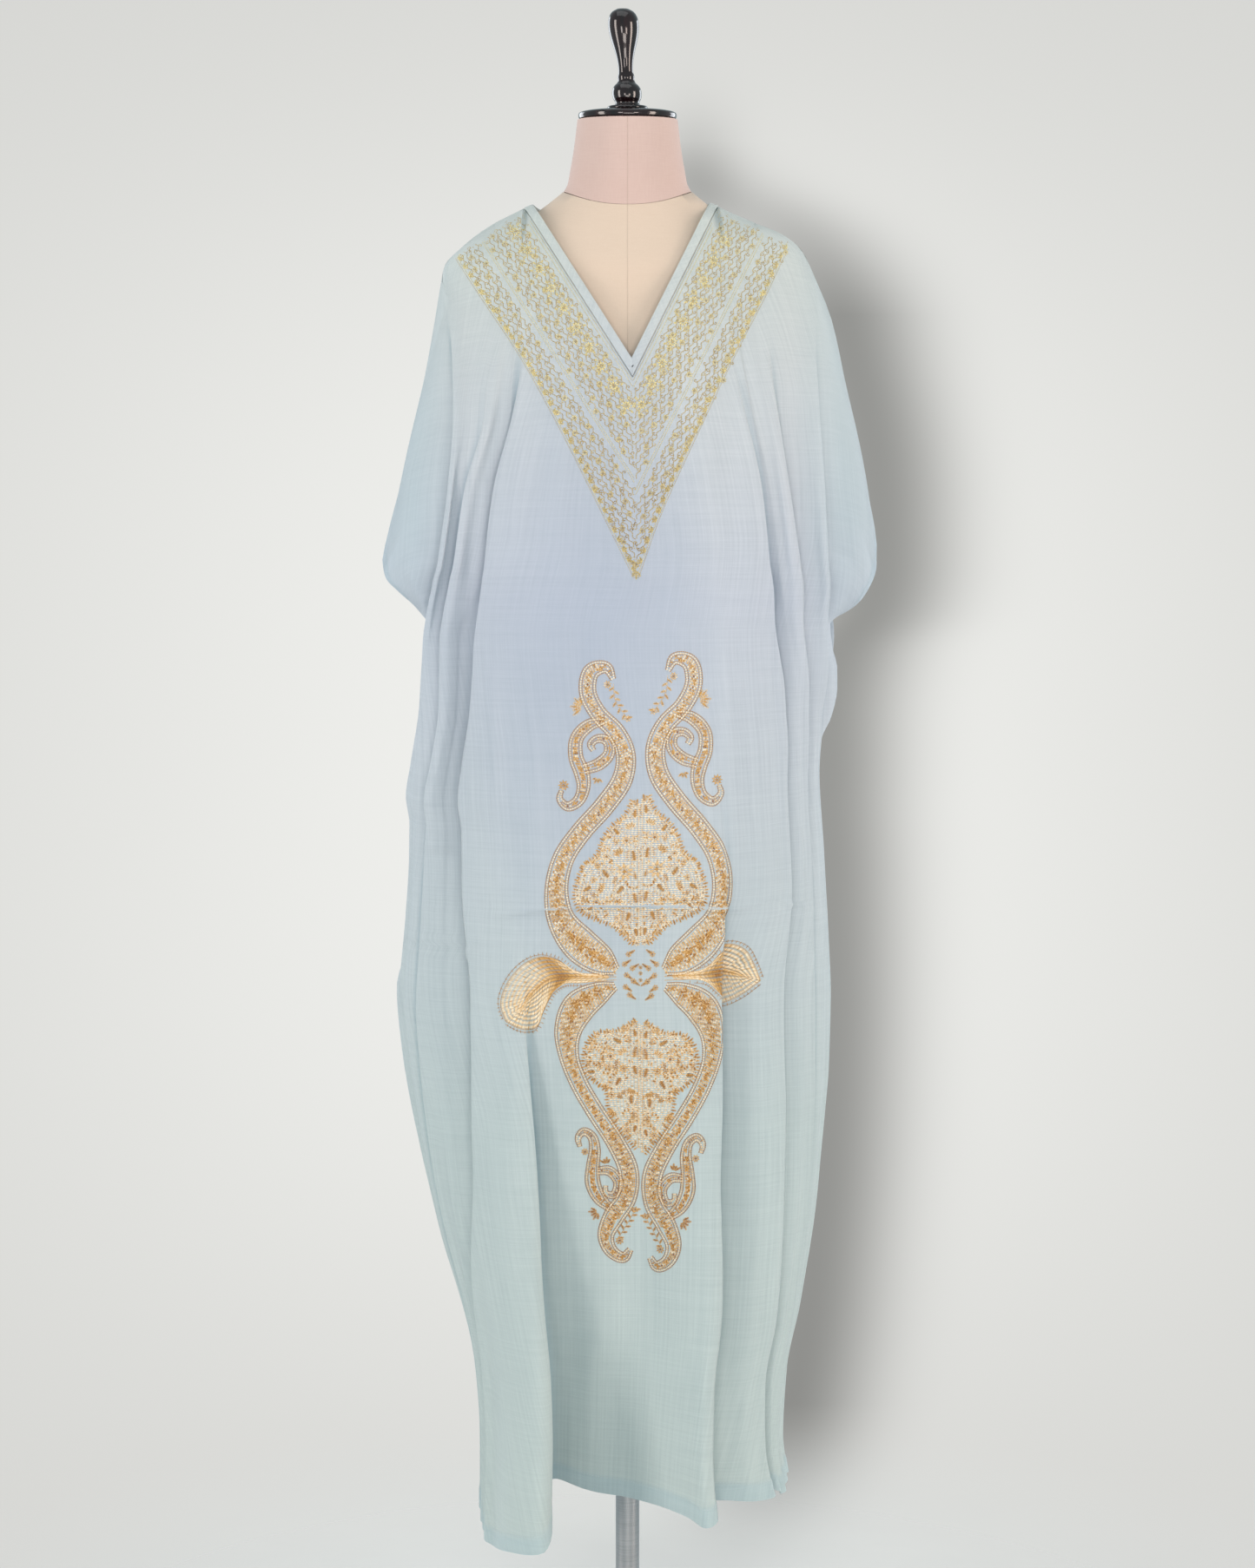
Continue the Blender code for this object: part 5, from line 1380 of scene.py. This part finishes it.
def along_edge(name, line, normals, look):
    """Even machine stitches along a line on the cloth."""
    pitch, length, *section = EDGE_STITCH
    run = run_along(line)
    at = np.arange(pitch / 2, run[-1] - pitch, pitch)
    start, end, middle = (on_line(line, run, at + ahead) for ahead in (0, length, length / 2))
    up = unit(on_line(normals, run, at))
    sizes = (np.full(len(at), part) for part in section)
    return loops_of_thread(name, start, end, middle, up, up, up, *sizes, look)


def set_in(lines, normals, inset):
    """The point this far along each of the lines, and its normal."""
    places = [(line, run_along(line), normal) for line, normal in zip(lines, normals)]
    return (np.array([on_line(line, run, inset) for line, run, _ in places]),
            np.array([on_line(normal, run, inset) for _, run, normal in places]))


def hem_line(sheet, up=18.6):
    """A line a little above the hem, with its normals."""
    return set_in(sheet.outer[:, ::-1], sheet.normals[:, ::-1], up)


def cuff_line(sheet, side, inset=15.0):
    """A line inside the cuff's edge, from its top to the underarm, with its normals."""
    rows = slice(1, UNDERARM_ROW * ROWS_BETWEEN)
    lines, normals = (part[::-side, rows].swapaxes(0, 1) for part in (sheet.outer, sheet.normals))
    return set_in(lines, normals, inset)


def edge_stitching(front, back, look):
    for sheet, half in ((front, "front"), (back, "back")):
        along_edge("hem_stitches_" + half, *hem_line(sheet), look)
        for side, hand in ((-1, "left"), (1, "right")):
            along_edge("cuff_stitches_" + half + "_" + hand, *cuff_line(sheet, side), look)


class Wire:
    """One output in a finish; arithmetic on it adds Math nodes."""

    def __init__(self, finish, socket):
        self.finish = finish
        self.socket = socket

    def maths(self, operation, *values):
        return self.finish.node("ShaderNodeMath", {"operation": operation}, dict(enumerate(values)))

    def __add__(self, other):
        return self.maths("ADD", self, other)

    def __radd__(self, other):
        return self.maths("ADD", other, self)

    def __sub__(self, other):
        return self.maths("SUBTRACT", self, other)

    def __rsub__(self, other):
        return self.maths("SUBTRACT", other, self)

    def __mul__(self, other):
        return self.maths("MULTIPLY", self, other)

    def __rmul__(self, other):
        return self.maths("MULTIPLY", other, self)

    def __truediv__(self, other):
        return self.maths("DIVIDE", self, other)

    def __pow__(self, other):
        return self.maths("POWER", self, other)

    def __rpow__(self, other):
        return self.maths("POWER", other, self)

    def absolute(self):
        return self.maths("ABSOLUTE", self)

    def sine(self):
        return self.maths("SINE", self)

    def bell(self, centre, spread):
        """1 at a centre, falling off over the spread."""
        share = (self - centre) / spread
        return math.e ** (0.0 - share * share)

    def clipped(self):
        return self.maths("MINIMUM", self.maths("MAXIMUM", self, 0.0), 1.0)

    def ramp(self, start, width):
        """0 up to the start, then rising to 1 over the width."""
        return ((self - start) / width).clipped()


class Finish:
    """The node finish of one of this object's surfaces, or of the room."""

    def __init__(self, name, tree=None):
        self.material = None
        if tree is None:
            self.material = bpy.data.materials.new(name)
            self.material.use_nodes = True
            tree = self.material.node_tree
        self.tree = tree
        self.shader = tree.nodes.get("Principled BSDF")

    def node(self, kind, settings=None, values=None, out=0):
        """Add a node: its settings first, then the values or wires of its sockets."""
        made = self.tree.nodes.new(kind)
        for name, value in (settings or {}).items():
            if name == "stops":
                ramp = made.color_ramp.elements
                while len(ramp) < len(value):
                    ramp.new(1.0)
                for stop, (place, colour) in zip(ramp, value):
                    stop.position = place
                    stop.color = (*colour, 1)
            elif name == "points":
                line = made.mapping.curves[0].points
                while len(line) < len(value):
                    line.new(0.5, 0.5)
                for point, place in zip(line, value):
                    point.location = place
                made.mapping.update()
            else:
                setattr(made, name, value)
        for name, value in (values or {}).items():
            if isinstance(value, Wire):
                self.tree.links.new(value.socket, made.inputs[name])
            else:
                made.inputs[name].default_value = value
        return Wire(self, made.outputs[out]) if len(made.outputs) else None

    def constants(self, **values):
        for name, value in values.items():
            self.shader.inputs[name.replace("_", " ").title().replace("Ior", "IOR")].default_value = value

    def feed(self, name, wire):
        self.tree.links.new(wire.socket, self.shader.inputs[name])

    def blend(self, factor, first, second, mode="MIX"):
        return self.node("ShaderNodeMix", {"data_type": "RGBA", "blend_type": mode},
                         {0: factor, 6: first, 7: second}, out=2)

    def split(self, vector):
        return [self.node("ShaderNodeSeparateXYZ", values={0: vector}, out=k) for k in range(3)]

    def place(self):
        """Where a point lies on the object, in metres."""
        return self.node("ShaderNodeTexCoord", out=3)

    def mark(self, name):
        """A value that the mesh carries for each point."""
        return self.node("ShaderNodeAttribute", {"attribute_name": name}, out=2)

    def noise(self, place, scale, stretch=(1, 1, 1), detail=3.0, rough=0.55):
        along = self.node("ShaderNodeVectorMath", {"operation": "MULTIPLY"}, {0: place, 1: stretch})
        return self.node("ShaderNodeTexNoise", None,
                         {"Vector": along, "Scale": scale, "Detail": detail, "Roughness": rough})

    def relief(self, height, depth, strength=1.0):
        bump = self.node("ShaderNodeBump", None,
                         {"Height": height, "Distance": depth, "Strength": strength})
        self.feed("Normal", bump)


def srgb(code):
    """A colour as linear light, from its usual six-digit code."""
    parts = [int(code[k:k + 2], 16) / 255 for k in (0, 2, 4)]
    return tuple(p / 12.92 if p < 0.04045 else ((p + 0.055) / 1.055) ** 2.4 for p in parts)


def rgba(code):
    return (*srgb(code), 1.0)


# The cloth's colours up its length: share of the height, colour
CLOTH_SHADES = ((0.0, "bfcdcb"), (0.30, "becccd"), (0.52, "c2ccd3"), (0.70, "c6cdd9"), (0.86, "ced4d8"),
                (1.0, "d2d9d4"))
# Tint of the turned edges, then shade painted on the sleeves, on the chest and deep in the folds: strength,
# colour
HEM_TINT_AND_PAINTED_SHADES = ((0.20, "86adc0"), (0.32, "a2c0c8"), (0.48, "9eabc0"), (0.62, "648fa2"))
# Where the colours start and how far they run; from where out and up the sleeves get their painted shade,
# and over how far; the middle and the reach of the painted shade on the chest; all in metres
CLOTH_FOOT = 0.23
CLOTH_HEIGHT = 1.34
SLEEVE_SHADE_OUT = (0.165, 0.05)
SLEEVE_SHADE_UP = (1.05, 0.2)
CHEST_PAINTED_SHADE = ((-0.035, 1.12), (0.13, 0.38))
# Half width of the linen's middle seam, in metres
LINEN_SEAM = 0.0007
# Distance between threads, in metres
WARP_PITCH = 0.00062
WEFT_PITCH = 0.00070


def kaftan_cloth(name="slub_cloth"):
    """Thin plain-woven cloth: uneven threads both ways, a cool colour that drifts down its length, a tint on
    its turned edges, and shade painted on the sleeves, the chest and deep in the folds.
    """
    finish = Finish(name)
    finish.constants(sheen_weight=0.30, sheen_roughness=0.45, specular_ior_level=0.25)
    weave = finish.node("ShaderNodeUVMap", {"uv_map": "weave"})
    across, along, _ = finish.split(weave)
    place = finish.place()
    x, y, z = finish.split(place)
    shade = finish.node("ShaderNodeValToRGB", {"stops": [(at, srgb(c)) for at, c in CLOTH_SHADES]},
                        {0: z.ramp(CLOTH_FOOT, CLOTH_HEIGHT)})
    slub_down = finish.noise(weave, 1.0, (2600, 26, 1), 2.0)
    slub_across = finish.noise(weave, 1.0, (22, 2200, 1), 2.0)
    streak_down = finish.noise(weave, 1.0, (420, 4, 1), 3.0)
    streak_across = finish.noise(weave, 1.0, (5, 380, 1), 3.0)
    cloud = finish.noise(weave, 7.0, (1, 0.6, 1), 2.0)
    tone = slub_down * 0.7 + slub_across * 0.7 + streak_down * 0.8 + streak_across * 0.5 + cloud * 0.4
    tone = tone.ramp(1.1, 0.9)
    colour = finish.blend(1.0, shade, finish.blend(tone, rgba("dfe3e6"), rgba("ffffff")), "MULTIPLY")
    # Painted shade: the sleeves and sides are tinted a cooler teal, as where they turn from the light.
    sleeve_painted_shade = x.absolute().ramp(*SLEEVE_SHADE_OUT) * z.ramp(*SLEEVE_SHADE_UP)
    # Painted shade: the middle of the chest is tinted darker and cooler, on the front only, as if it lay in
    # shade.
    (x_mid, z_mid), (x_reach, z_reach) = CHEST_PAINTED_SHADE
    chest_painted_shade = (1.0 - ((x - x_mid) / x_reach) ** 2 - ((z - z_mid) / z_reach) ** 2).clipped()
    chest_painted_shade = chest_painted_shade * (0.6 - y * 6.0).clipped()
    # The turned edges get their own tint; the sleeves, the chest and the folds get painted shade.
    shares = (finish.mark("turned"), sleeve_painted_shade, chest_painted_shade, finish.mark("in_fold"))
    for share, (strength, tint) in zip(shares, HEM_TINT_AND_PAINTED_SHADES):
        colour = finish.blend(share * strength, colour, rgba(tint))
    finish.feed("Base Color", colour)
    warp = (across * (2 * math.pi / WARP_PITCH)).sine()
    weft = (along * (2 * math.pi / WEFT_PITCH)).sine()
    cross = warp * weft * 0.35 + slub_down * 0.9 + slub_across * 0.9 + streak_down * 0.3
    finish.feed("Roughness", 0.74 + 0.16 * slub_down)
    finish.relief(cross, 0.00022, 0.75)
    return finish.material


def linen(name, base, pale):
    """Close linen drawn over the form, with its middle seam."""
    finish = Finish(name)
    finish.constants(roughness=0.8, sheen_weight=0.12, specular_ior_level=0.3)
    place = finish.place()
    x = finish.split(place)[0]
    grain = finish.noise(place, 1.0, (900, 900, 60), 2.0)
    cross = finish.noise(place, 1.0, (70, 70, 1100), 2.0)
    cloud = finish.noise(place, 9.0)
    tone = grain * 0.4 + cross * 0.4 + cloud * 0.5 - 0.15
    colour = finish.blend(tone.clipped(), rgba(base), rgba(pale))
    seam = 1.0 - (x.absolute() / LINEN_SEAM).clipped()
    finish.feed("Base Color", finish.blend(seam * 0.35, colour, rgba("a58f80")))
    finish.feed("Roughness", 0.76 + 0.14 * cloud)
    finish.relief(grain * 0.5 + cross * 0.5 - seam * 1.4, 0.0003, 0.6)
    return finish.material


def lacquer(name, base, glow):
    """Polished dark lacquer over turned wood, a little wine red where it is thin."""
    finish = Finish(name)
    finish.constants(coat_weight=0.6, coat_roughness=0.03, specular_ior_level=0.4)
    place = finish.place()
    grain = finish.noise(place, 1.0, (90, 90, 14), 4.0)
    finish.feed("Base Color", finish.blend((grain * 1.6 - 0.5).clipped(), rgba(base), rgba(glow)))
    finish.feed("Roughness", 0.10 + 0.10 * finish.noise(place, 300.0))
    finish.relief(finish.noise(place, 130.0), 0.00006, 0.5)
    return finish.material


def brushed_steel(name):
    finish = Finish(name)
    finish.constants(metallic=1.0)
    place = finish.place()
    lines = finish.noise(place, 1.0, (40, 40, 2600), 2.0)
    finish.feed("Base Color", finish.blend(lines, rgba("8d8f92"), rgba("c9cbcd")))
    finish.feed("Roughness", 0.24 + 0.18 * lines)
    finish.relief(lines, 0.00004, 0.6)
    return finish.material


def embroidery_thread(name, dark, middle, light, gloss):
    """Mercerised thread whose shade is told by each stitch, with its own fine twist."""
    finish = Finish(name)
    finish.constants(sheen_weight=0.15, specular_ior_level=0.5)
    shade = finish.mark("shade")
    place = finish.place()
    twist = finish.noise(place, 2600.0, detail=1.0)
    colour = finish.node("ShaderNodeValToRGB", {"stops": [(0.0, srgb(dark)), (0.5, srgb(middle)),
                                                          (1.0, srgb(light))]}, {0: shade})
    finish.feed("Base Color", finish.blend(twist * 0.3, colour, rgba("fff6dc"), "SOFT_LIGHT"))
    finish.feed("Roughness", gloss + 0.2 * twist)
    finish.relief(twist, 0.0002, 0.5)
    return finish.material


def pale_floor(name):
    """A pale floor that fades away from the stand."""
    finish = Finish(name)
    finish.constants(roughness=0.9)
    place = finish.place()
    x, y, _ = finish.split(place)
    away = ((x * x + y * y) ** 0.5 - FLOOR_FADE[0]) / (FLOOR_FADE[1] - FLOOR_FADE[0])
    finish.feed("Base Color", finish.blend(finish.noise(place, 6.0), rgba("dededc"), rgba("e8e8e6")))
    finish.feed("Alpha", (1.0 - away).clipped() ** 1.5)
    return finish.material


def loft_piece(name, sections, look, sides=96, step=9.0):
    """A smooth linen body through the form's sections, round its own neck seam."""
    level, *columns = np.array(sections, float).T
    count = max(8, int((level[-1] - level[0]) / step))
    z = np.linspace(level[0], level[-1], count)
    width, front, back = (smooth(level, column, z) for column in columns)
    angle = 2 * math.pi * np.arange(sides) / sides
    across, along = np.cos(angle), np.sin(angle)
    reach = np.where(along[None, :] < 0, front[:, None], back[:, None])
    x = width[:, None] * np.sign(across) * np.abs(across) ** FORM_SQUARENESS
    y = reach * np.sign(along) * np.abs(along) ** FORM_SQUARENESS
    near = np.clip(1 - np.abs(z - NECK_SEAM_Z) / SEAM_DIP_REACH, 0, 1)
    rise = NECK_SEAM_DIP * np.cos(2 * angle)[None, :] * near[:, None]
    rings = np.stack([x, y, z[:, None] + rise], axis=2)
    return turned_mesh(name, rings, look)


def turned_mesh(name, rings, look, sharp=50):
    """A closed body through rings of points from bottom to top."""
    count, sides = rings.shape[:2]
    index = np.arange(count * sides).reshape(count, sides)
    ends = [index[0, ::-1].tolist(), index[-1].tolist()]
    mesh = new_mesh(name, rings, ring_quads(index[:-1], index[1:]) + ends)
    mesh.materials.append(look)
    return place_piece(name, mesh, sharp)


def lathe_piece(name, profile, look, floor=0.0, lean=0.0, upright=0.0, steps=4, sides=96):
    """A turned body with rounded edges between the rows of its profile."""
    rows = through(np.array(profile, float), [steps] * (len(profile) - 1))
    angle = 2 * math.pi * np.arange(sides) / sides
    radius = np.maximum(rows[:, 0], 0.3)[:, None]
    height = rows[:, 1][:, None] + 0 * angle
    x = radius * np.cos(angle) + lean * np.clip(height - upright, 0, None)
    rings = np.stack([x, radius * np.sin(angle), height + floor], axis=2)
    return turned_mesh(name, rings, look)


def neck_line(sheets):
    """The neckline all round, from the sheets' top rows, with its outward normals."""
    points, normals = [], []
    for sheet in sheets:
        top = sheet.outer[:, 0]
        on_neck = (top[:, 0] > NECK_POINT_LEFT[0] - 1) & (top[:, 0] < NECK_POINT_RIGHT[0] + 1)
        on_neck &= top[:, 2] < NECK_POINT_RIGHT[1] + 3
        points.append(top[on_neck])
        normals.append(sheet.normals[on_neck, 0])
    points = [points[0], points[1][::-1][1:-1]]
    normals = [normals[0], normals[1][::-1][1:-1]]
    count = len(points[0])
    points = np.concatenate(points)
    points[[0, count - 1], 1] = SEAM_Y
    return points, np.concatenate(normals)


# The bound edge's section: reach into the neck opening and height over the cloth
BINDING_SECTION = ((0.5, 0.1), (0.6, 0.8), (1.6, 1.25), (3.2, 1.0), (5.2, 1.3), (8.0, 1.25), (9.5, 0.6),
                   (9.6, -1.2), (8.4, -2.3), (2.2, -2.3), (0.6, -1.2))
# Share of a length along a bias strip that runs along each set of its threads
BIAS = 0.7


def bound_edge(sheets, look):
    """The narrow bias strip sewn round the neck, mitred at the point of the V."""
    points, normals = neck_line(sheets)
    ways = unit(np.roll(points, -1, axis=0) - points)
    sides = [unit(np.cross(normals, way)) for way in (np.roll(ways, 1, axis=0), ways)]
    middle = unit(sides[0] + sides[1])
    middle /= np.maximum(MITRE_LIMIT, (middle * sides[0]).sum(axis=1, keepdims=True))
    rings = np.stack([points + reach * middle + rise * normals for reach, rise in BINDING_SECTION], axis=1)
    count, around = rings.shape[:2]
    index = np.arange(count * around).reshape(count, around)
    length = np.repeat(run_along(points), around)
    reach = np.tile([row[0] for row in BINDING_SECTION], count)
    on_bias = np.stack([length + reach, length - reach], axis=1) * BIAS
    mesh = new_mesh("bound_neck", rings, ring_quads(index, np.roll(index, -1, axis=0)), on_bias)
    mesh.materials.append(look)
    return place_piece("bound_neck", mesh, 60)


# The room's soft shadow beside the object: level and place across, as shares of the picture's height
SHADOW_EDGE = ((0.0, 0.36), (0.10, 0.44), (0.16, 0.515), (0.24, 0.545), (0.34, 0.560), (0.385, 0.555),
               (0.42, 0.533), (0.50, 0.525), (0.56, 0.527), (0.66, 0.528), (0.78, 0.520), (0.90, 0.502),
               (1.0, 0.47))
# How wide and how dark this shadow is, and the share of it beside the neck and under the hem
SHADOW_WIDTH = 0.048
SHADE_DEPTH = 0.36
SMALL_SHADOW = 0.45
# The room's grey, and how much brighter it is behind the middle of the object
ROOM_GREY = 0.832
ROOM_BRIGHTER = 0.108


def room():
    """Soft grey surroundings, brightest at mid height, and the light that they give."""
    world = bpy.data.worlds.new("soft_room")
    bpy.context.scene.world = world
    world.use_nodes = True
    world.node_tree.nodes.clear()
    finish = Finish("room", world.node_tree)
    way = finish.node("ShaderNodeTexCoord", out=0)
    x, y, z = finish.split(way)
    lean = math.radians(CAMERA_PITCH)
    ahead = y * math.cos(lean) - z * math.sin(lean)
    rise = (y * math.sin(lean) + z * math.cos(lean)) / ahead
    across = x / ahead
    facing = (ahead * 4.0 - 1.0).clipped()
    u = across * FRAME_SCALE
    v = 0.5 - rise * FRAME_SCALE
    level = (v - 0.48).absolute() / 0.41
    bright = u.bell(0.0, 0.44) * math.e ** (0.0 - level * level * level)
    edge = finish.node("ShaderNodeFloatCurve", {"points": SHADOW_EDGE}, {"Value": v.clipped()})
    body = (u + 0.4 - edge).bell(0.0, SHADOW_WIDTH)
    inside = ((1.02 - v) * 8).clipped() * ((v - 0.09) * 9).clipped()
    neck = u.bell(0.043, 0.028) * v.bell(0.115, 0.04) * SMALL_SHADOW
    under = u.bell(0.01, 0.075) * v.bell(1.01, 0.03) * SMALL_SHADOW
    shade = (body * inside + neck + under).clipped() * SHADE_DEPTH * facing
    value = (ROOM_GREY + ROOM_BRIGHTER * bright * facing) * (1.0 - shade)
    grey = finish.node("ShaderNodeCombineColor", None,
                       {0: value ** 2.2, 1: value ** 2.2 * 1.002, 2: (value - 0.008) ** 2.2 * 0.99})
    light = finish.node("ShaderNodeBackground", None, {0: rgba("d6e8ec"), 1: ROOM_LIGHT})
    seen = finish.node("ShaderNodeBackground", None, {0: grey, 1: 1.0})
    eye = finish.node("ShaderNodeLightPath")
    mixed = finish.node("ShaderNodeMixShader", None, {0: eye, 1: light, 2: seen})
    finish.node("ShaderNodeOutputWorld", None, {0: mixed})


CAMERA_PITCH = 6.0
CAMERA_PLACE = (0.0, -3.6, 1.35)
LENS = 80.17
SENSOR = 36.0
# Picture heights for each unit of slope at this lens
FRAME_SCALE = LENS / SENSOR
# Where the floor starts to fade and where it ends, from the pole, and its level, in metres
FLOOR_FADE = (0.22, 1.05)
FLOOR_LEVEL = -0.0006
ROOM_LIGHT = 0.60
# Lamps: name, place, size, power, colour
LAMPS = (
    ("window_left", (-3.1, -1.5, 1.3), (0.9, 2.8), 62.0, "fff2ea"),
    ("window_right", (3.1, -1.7, 1.25), (0.9, 2.8), 72.0, "ffecdf"),
    ("front_left", (-1.1, -3.8, 1.15), (0.7, 0.9), 15.0, "fff3ee"),
    ("front_right", (1.4, -3.8, 1.1), (0.7, 0.9), 18.0, "ffece2"),
    ("low_front", (0.2, -3.6, 0.35), (1.6, 0.7), 24.0, "fff4ec"),
    ("top_soft", (-0.2, -0.6, 3.4), (2.2, 1.6), 10.0, "ffffff"),
    ("behind_left", (-2.0, 2.4, 1.6), (1.4, 2.2), 30.0, "f4f8ff"),
    ("behind_right", (2.2, 2.2, 1.4), (1.4, 2.2), 32.0, "f4f8ff"),
)


def camera_and_lamps():
    lens = bpy.data.cameras.new("portrait")
    lens.lens = LENS
    lens.sensor_width = SENSOR
    lens.clip_end = 50
    camera = link_object("portrait", lens)
    camera.location = CAMERA_PLACE
    camera.rotation_euler = (math.radians(90 - CAMERA_PITCH), 0, 0)
    bpy.context.scene.camera = camera
    aim = np.array([0.0, 0.0, 1.0])
    for name, place, size, power, colour in LAMPS:
        lamp = bpy.data.lights.new(name, "AREA")
        lamp.shape = "RECTANGLE"
        lamp.size, lamp.size_y = size
        lamp.energy = power
        lamp.color = srgb(colour)
        holder = link_object(name, lamp)
        holder.location = place
        away = np.array(place) - aim
        flat = math.hypot(away[0], away[1])
        holder.rotation_euler = (math.atan2(flat, away[2]), 0, math.atan2(away[0], -away[1]))
    bpy.context.scene.view_settings.view_transform = "Standard"


def floor(sides=96):
    angle = 2 * math.pi * np.arange(sides) / sides
    reach = FLOOR_FADE[1]
    ring = np.stack([reach * np.cos(angle), reach * np.sin(angle), 0 * angle + FLOOR_LEVEL], axis=1)
    mesh = bpy.data.meshes.new("pale_floor")
    mesh.from_pydata(ring.tolist(), [], [list(range(sides))])
    mesh.materials.append(pale_floor("pale_floor"))
    link_object("pale_floor", mesh)


# Pressed creases of the front, as points (x, z), width and height
FRONT_CREASES = (
    (((-132, 853), (-96, 859), (-40, 865), (20, 865), (70, 863), (112, 860), (146, 868)), 2.4, 2.8),
    (((-132, 843), (-96, 849), (-40, 855), (20, 855), (70, 853), (112, 850)), 6.0, -2.2),
    (((-146, 830), (-160, 812), (-176, 797)), 3.0, 2.6),
    (((150, 866), (170, 858), (190, 852)), 3.0, 1.6),
    (((-204, 917), (-190, 915), (-178, 917)), 3.0, 2.4),
    (((-120, 1197), (-60, 1195), (0, 1196), (70, 1194), (120, 1197)), 9.0, 1.3),
    (((110, 486), (122, 489), (132, 488)), 4.0, 1.6),
    (((112, 342), (124, 345), (134, 346)), 4.0, 1.8),
    (((-138, 1110), (-133, 1040), (-131, 980), (-148, 962)), 4.0, 1.8),
    (((-30, 1150), (-24, 1010), (-22, 900)), 12.0, 0.8),
    (((96, 1160), (104, 1000), (110, 880)), 7.0, 1.2),
    (((-110, 720), (-120, 560), (-116, 420)), 9.0, 1.4),
    (((-30, 440), (-44, 330), (-40, 250)), 10.0, 1.6),
    (((24, 450), (30, 340), (34, 250)), 10.0, 1.6),
)
BACK_CREASES = (
    (((-140, 856), (-70, 862), (0, 860), (80, 865), (150, 858)), 2.4, 1.9),
    (((-140, 846), (-70, 852), (0, 850), (80, 855), (150, 848)), 6.0, -1.6),
    (((-120, 1188), (-40, 1192), (50, 1187), (130, 1191)), 9.0, 1.3),
    (((-170, 822), (-186, 806), (-200, 800)), 3.0, 1.6),
    (((-60, 1420), (-66, 1250), (-72, 1100)), 10.0, 1.2),
    (((4, 1500), (6, 1300), (2, 1120)), 12.0, 1.0),
    (((70, 1380), (80, 1240), (86, 1120)), 10.0, 1.2),
    (((-20, 620), (-26, 470), (-22, 300)), 11.0, 1.6),
    (((96, 560), (104, 420), (100, 300)), 9.0, 1.4),
)
# Slow unevenness: wavelength across and down, turn and height
FRONT_WAVES = ((96, 870, 0.4, 0.9), (-61, 640, 1.9, 0.6), (38, 900, 4.1, 0.35), (150, 210, 2.2, 0.35))
BACK_WAVES = ((-104, 790, 1.4, 1.0), (67, 560, 0.3, 0.6), (-41, 820, 3.3, 0.35), (140, 230, 0.9, 0.35))


def dress():
    """Every piece of the scene, in the order that they are put on."""
    cloth = kaftan_cloth()
    front = Sheet(FRONT, FRONT_CREASES, FRONT_WAVES)
    back = Sheet(BACK, BACK_CREASES, BACK_WAVES)
    for sheet, name, node in ((front, "front_cloth", "kaftan_front"), (back, "back_cloth", "kaftan_back")):
        piece = sheet.piece(name)
        piece.data.materials.append(cloth)
        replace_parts(piece, node)
        sheet.flat_size()
        sheet.flat_area()
    gold = embroidery_thread("gold_thread", "8f5c18", "cda05c", "f6ead2", 0.45)
    medallion(front, gold)
    yoke(front, embroidery_thread("pale_gold_thread", "8a7042", "bba878", "e4d8a0", 0.5))
    edge_stitching(front, back, embroidery_thread("cloth_thread", "8fa3ab", "aebfc6", "cdd8dc", 0.6))
    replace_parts(bound_edge((front, back), cloth), "neck_binding")
    torso = loft_piece("linen_torso", FORM_SECTIONS, linen("form_linen", "d0bba8", "dccab9"))
    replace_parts(torso, "form_torso")
    neck = loft_piece("linen_neck", NECK_SECTIONS, linen("neck_linen", "c2a79f", "d2bcb4"), step=4.0)
    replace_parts(neck, "form_neck")
    black = lacquer("black_lacquer", "060405", "2a0509")
    cap_floor = NECK_SECTIONS[-1][0] + PIECE_GAP
    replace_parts(lathe_piece("lacquered_cap", CAP_PROFILE, black, cap_floor), "neck_cap")
    knob = lathe_piece("turned_knob", KNOB_PROFILE, black, cap_floor, KNOB_LEAN, KNOB_PROFILE[2][1])
    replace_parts(knob, "finial")
    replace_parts(lathe_piece("lacquered_base", BASE_PROFILE, black, steps=6), "stand_base")
    pole = ((POLE_RADIUS, BASE_PROFILE[-1][1] + PIECE_GAP), (POLE_RADIUS, FORM_SECTIONS[0][0] - PIECE_GAP))
    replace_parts(lathe_piece("steel_pole", pole, brushed_steel("pole_steel"), steps=30), "stand_pole")


dress()
room()
floor()
camera_and_lamps()
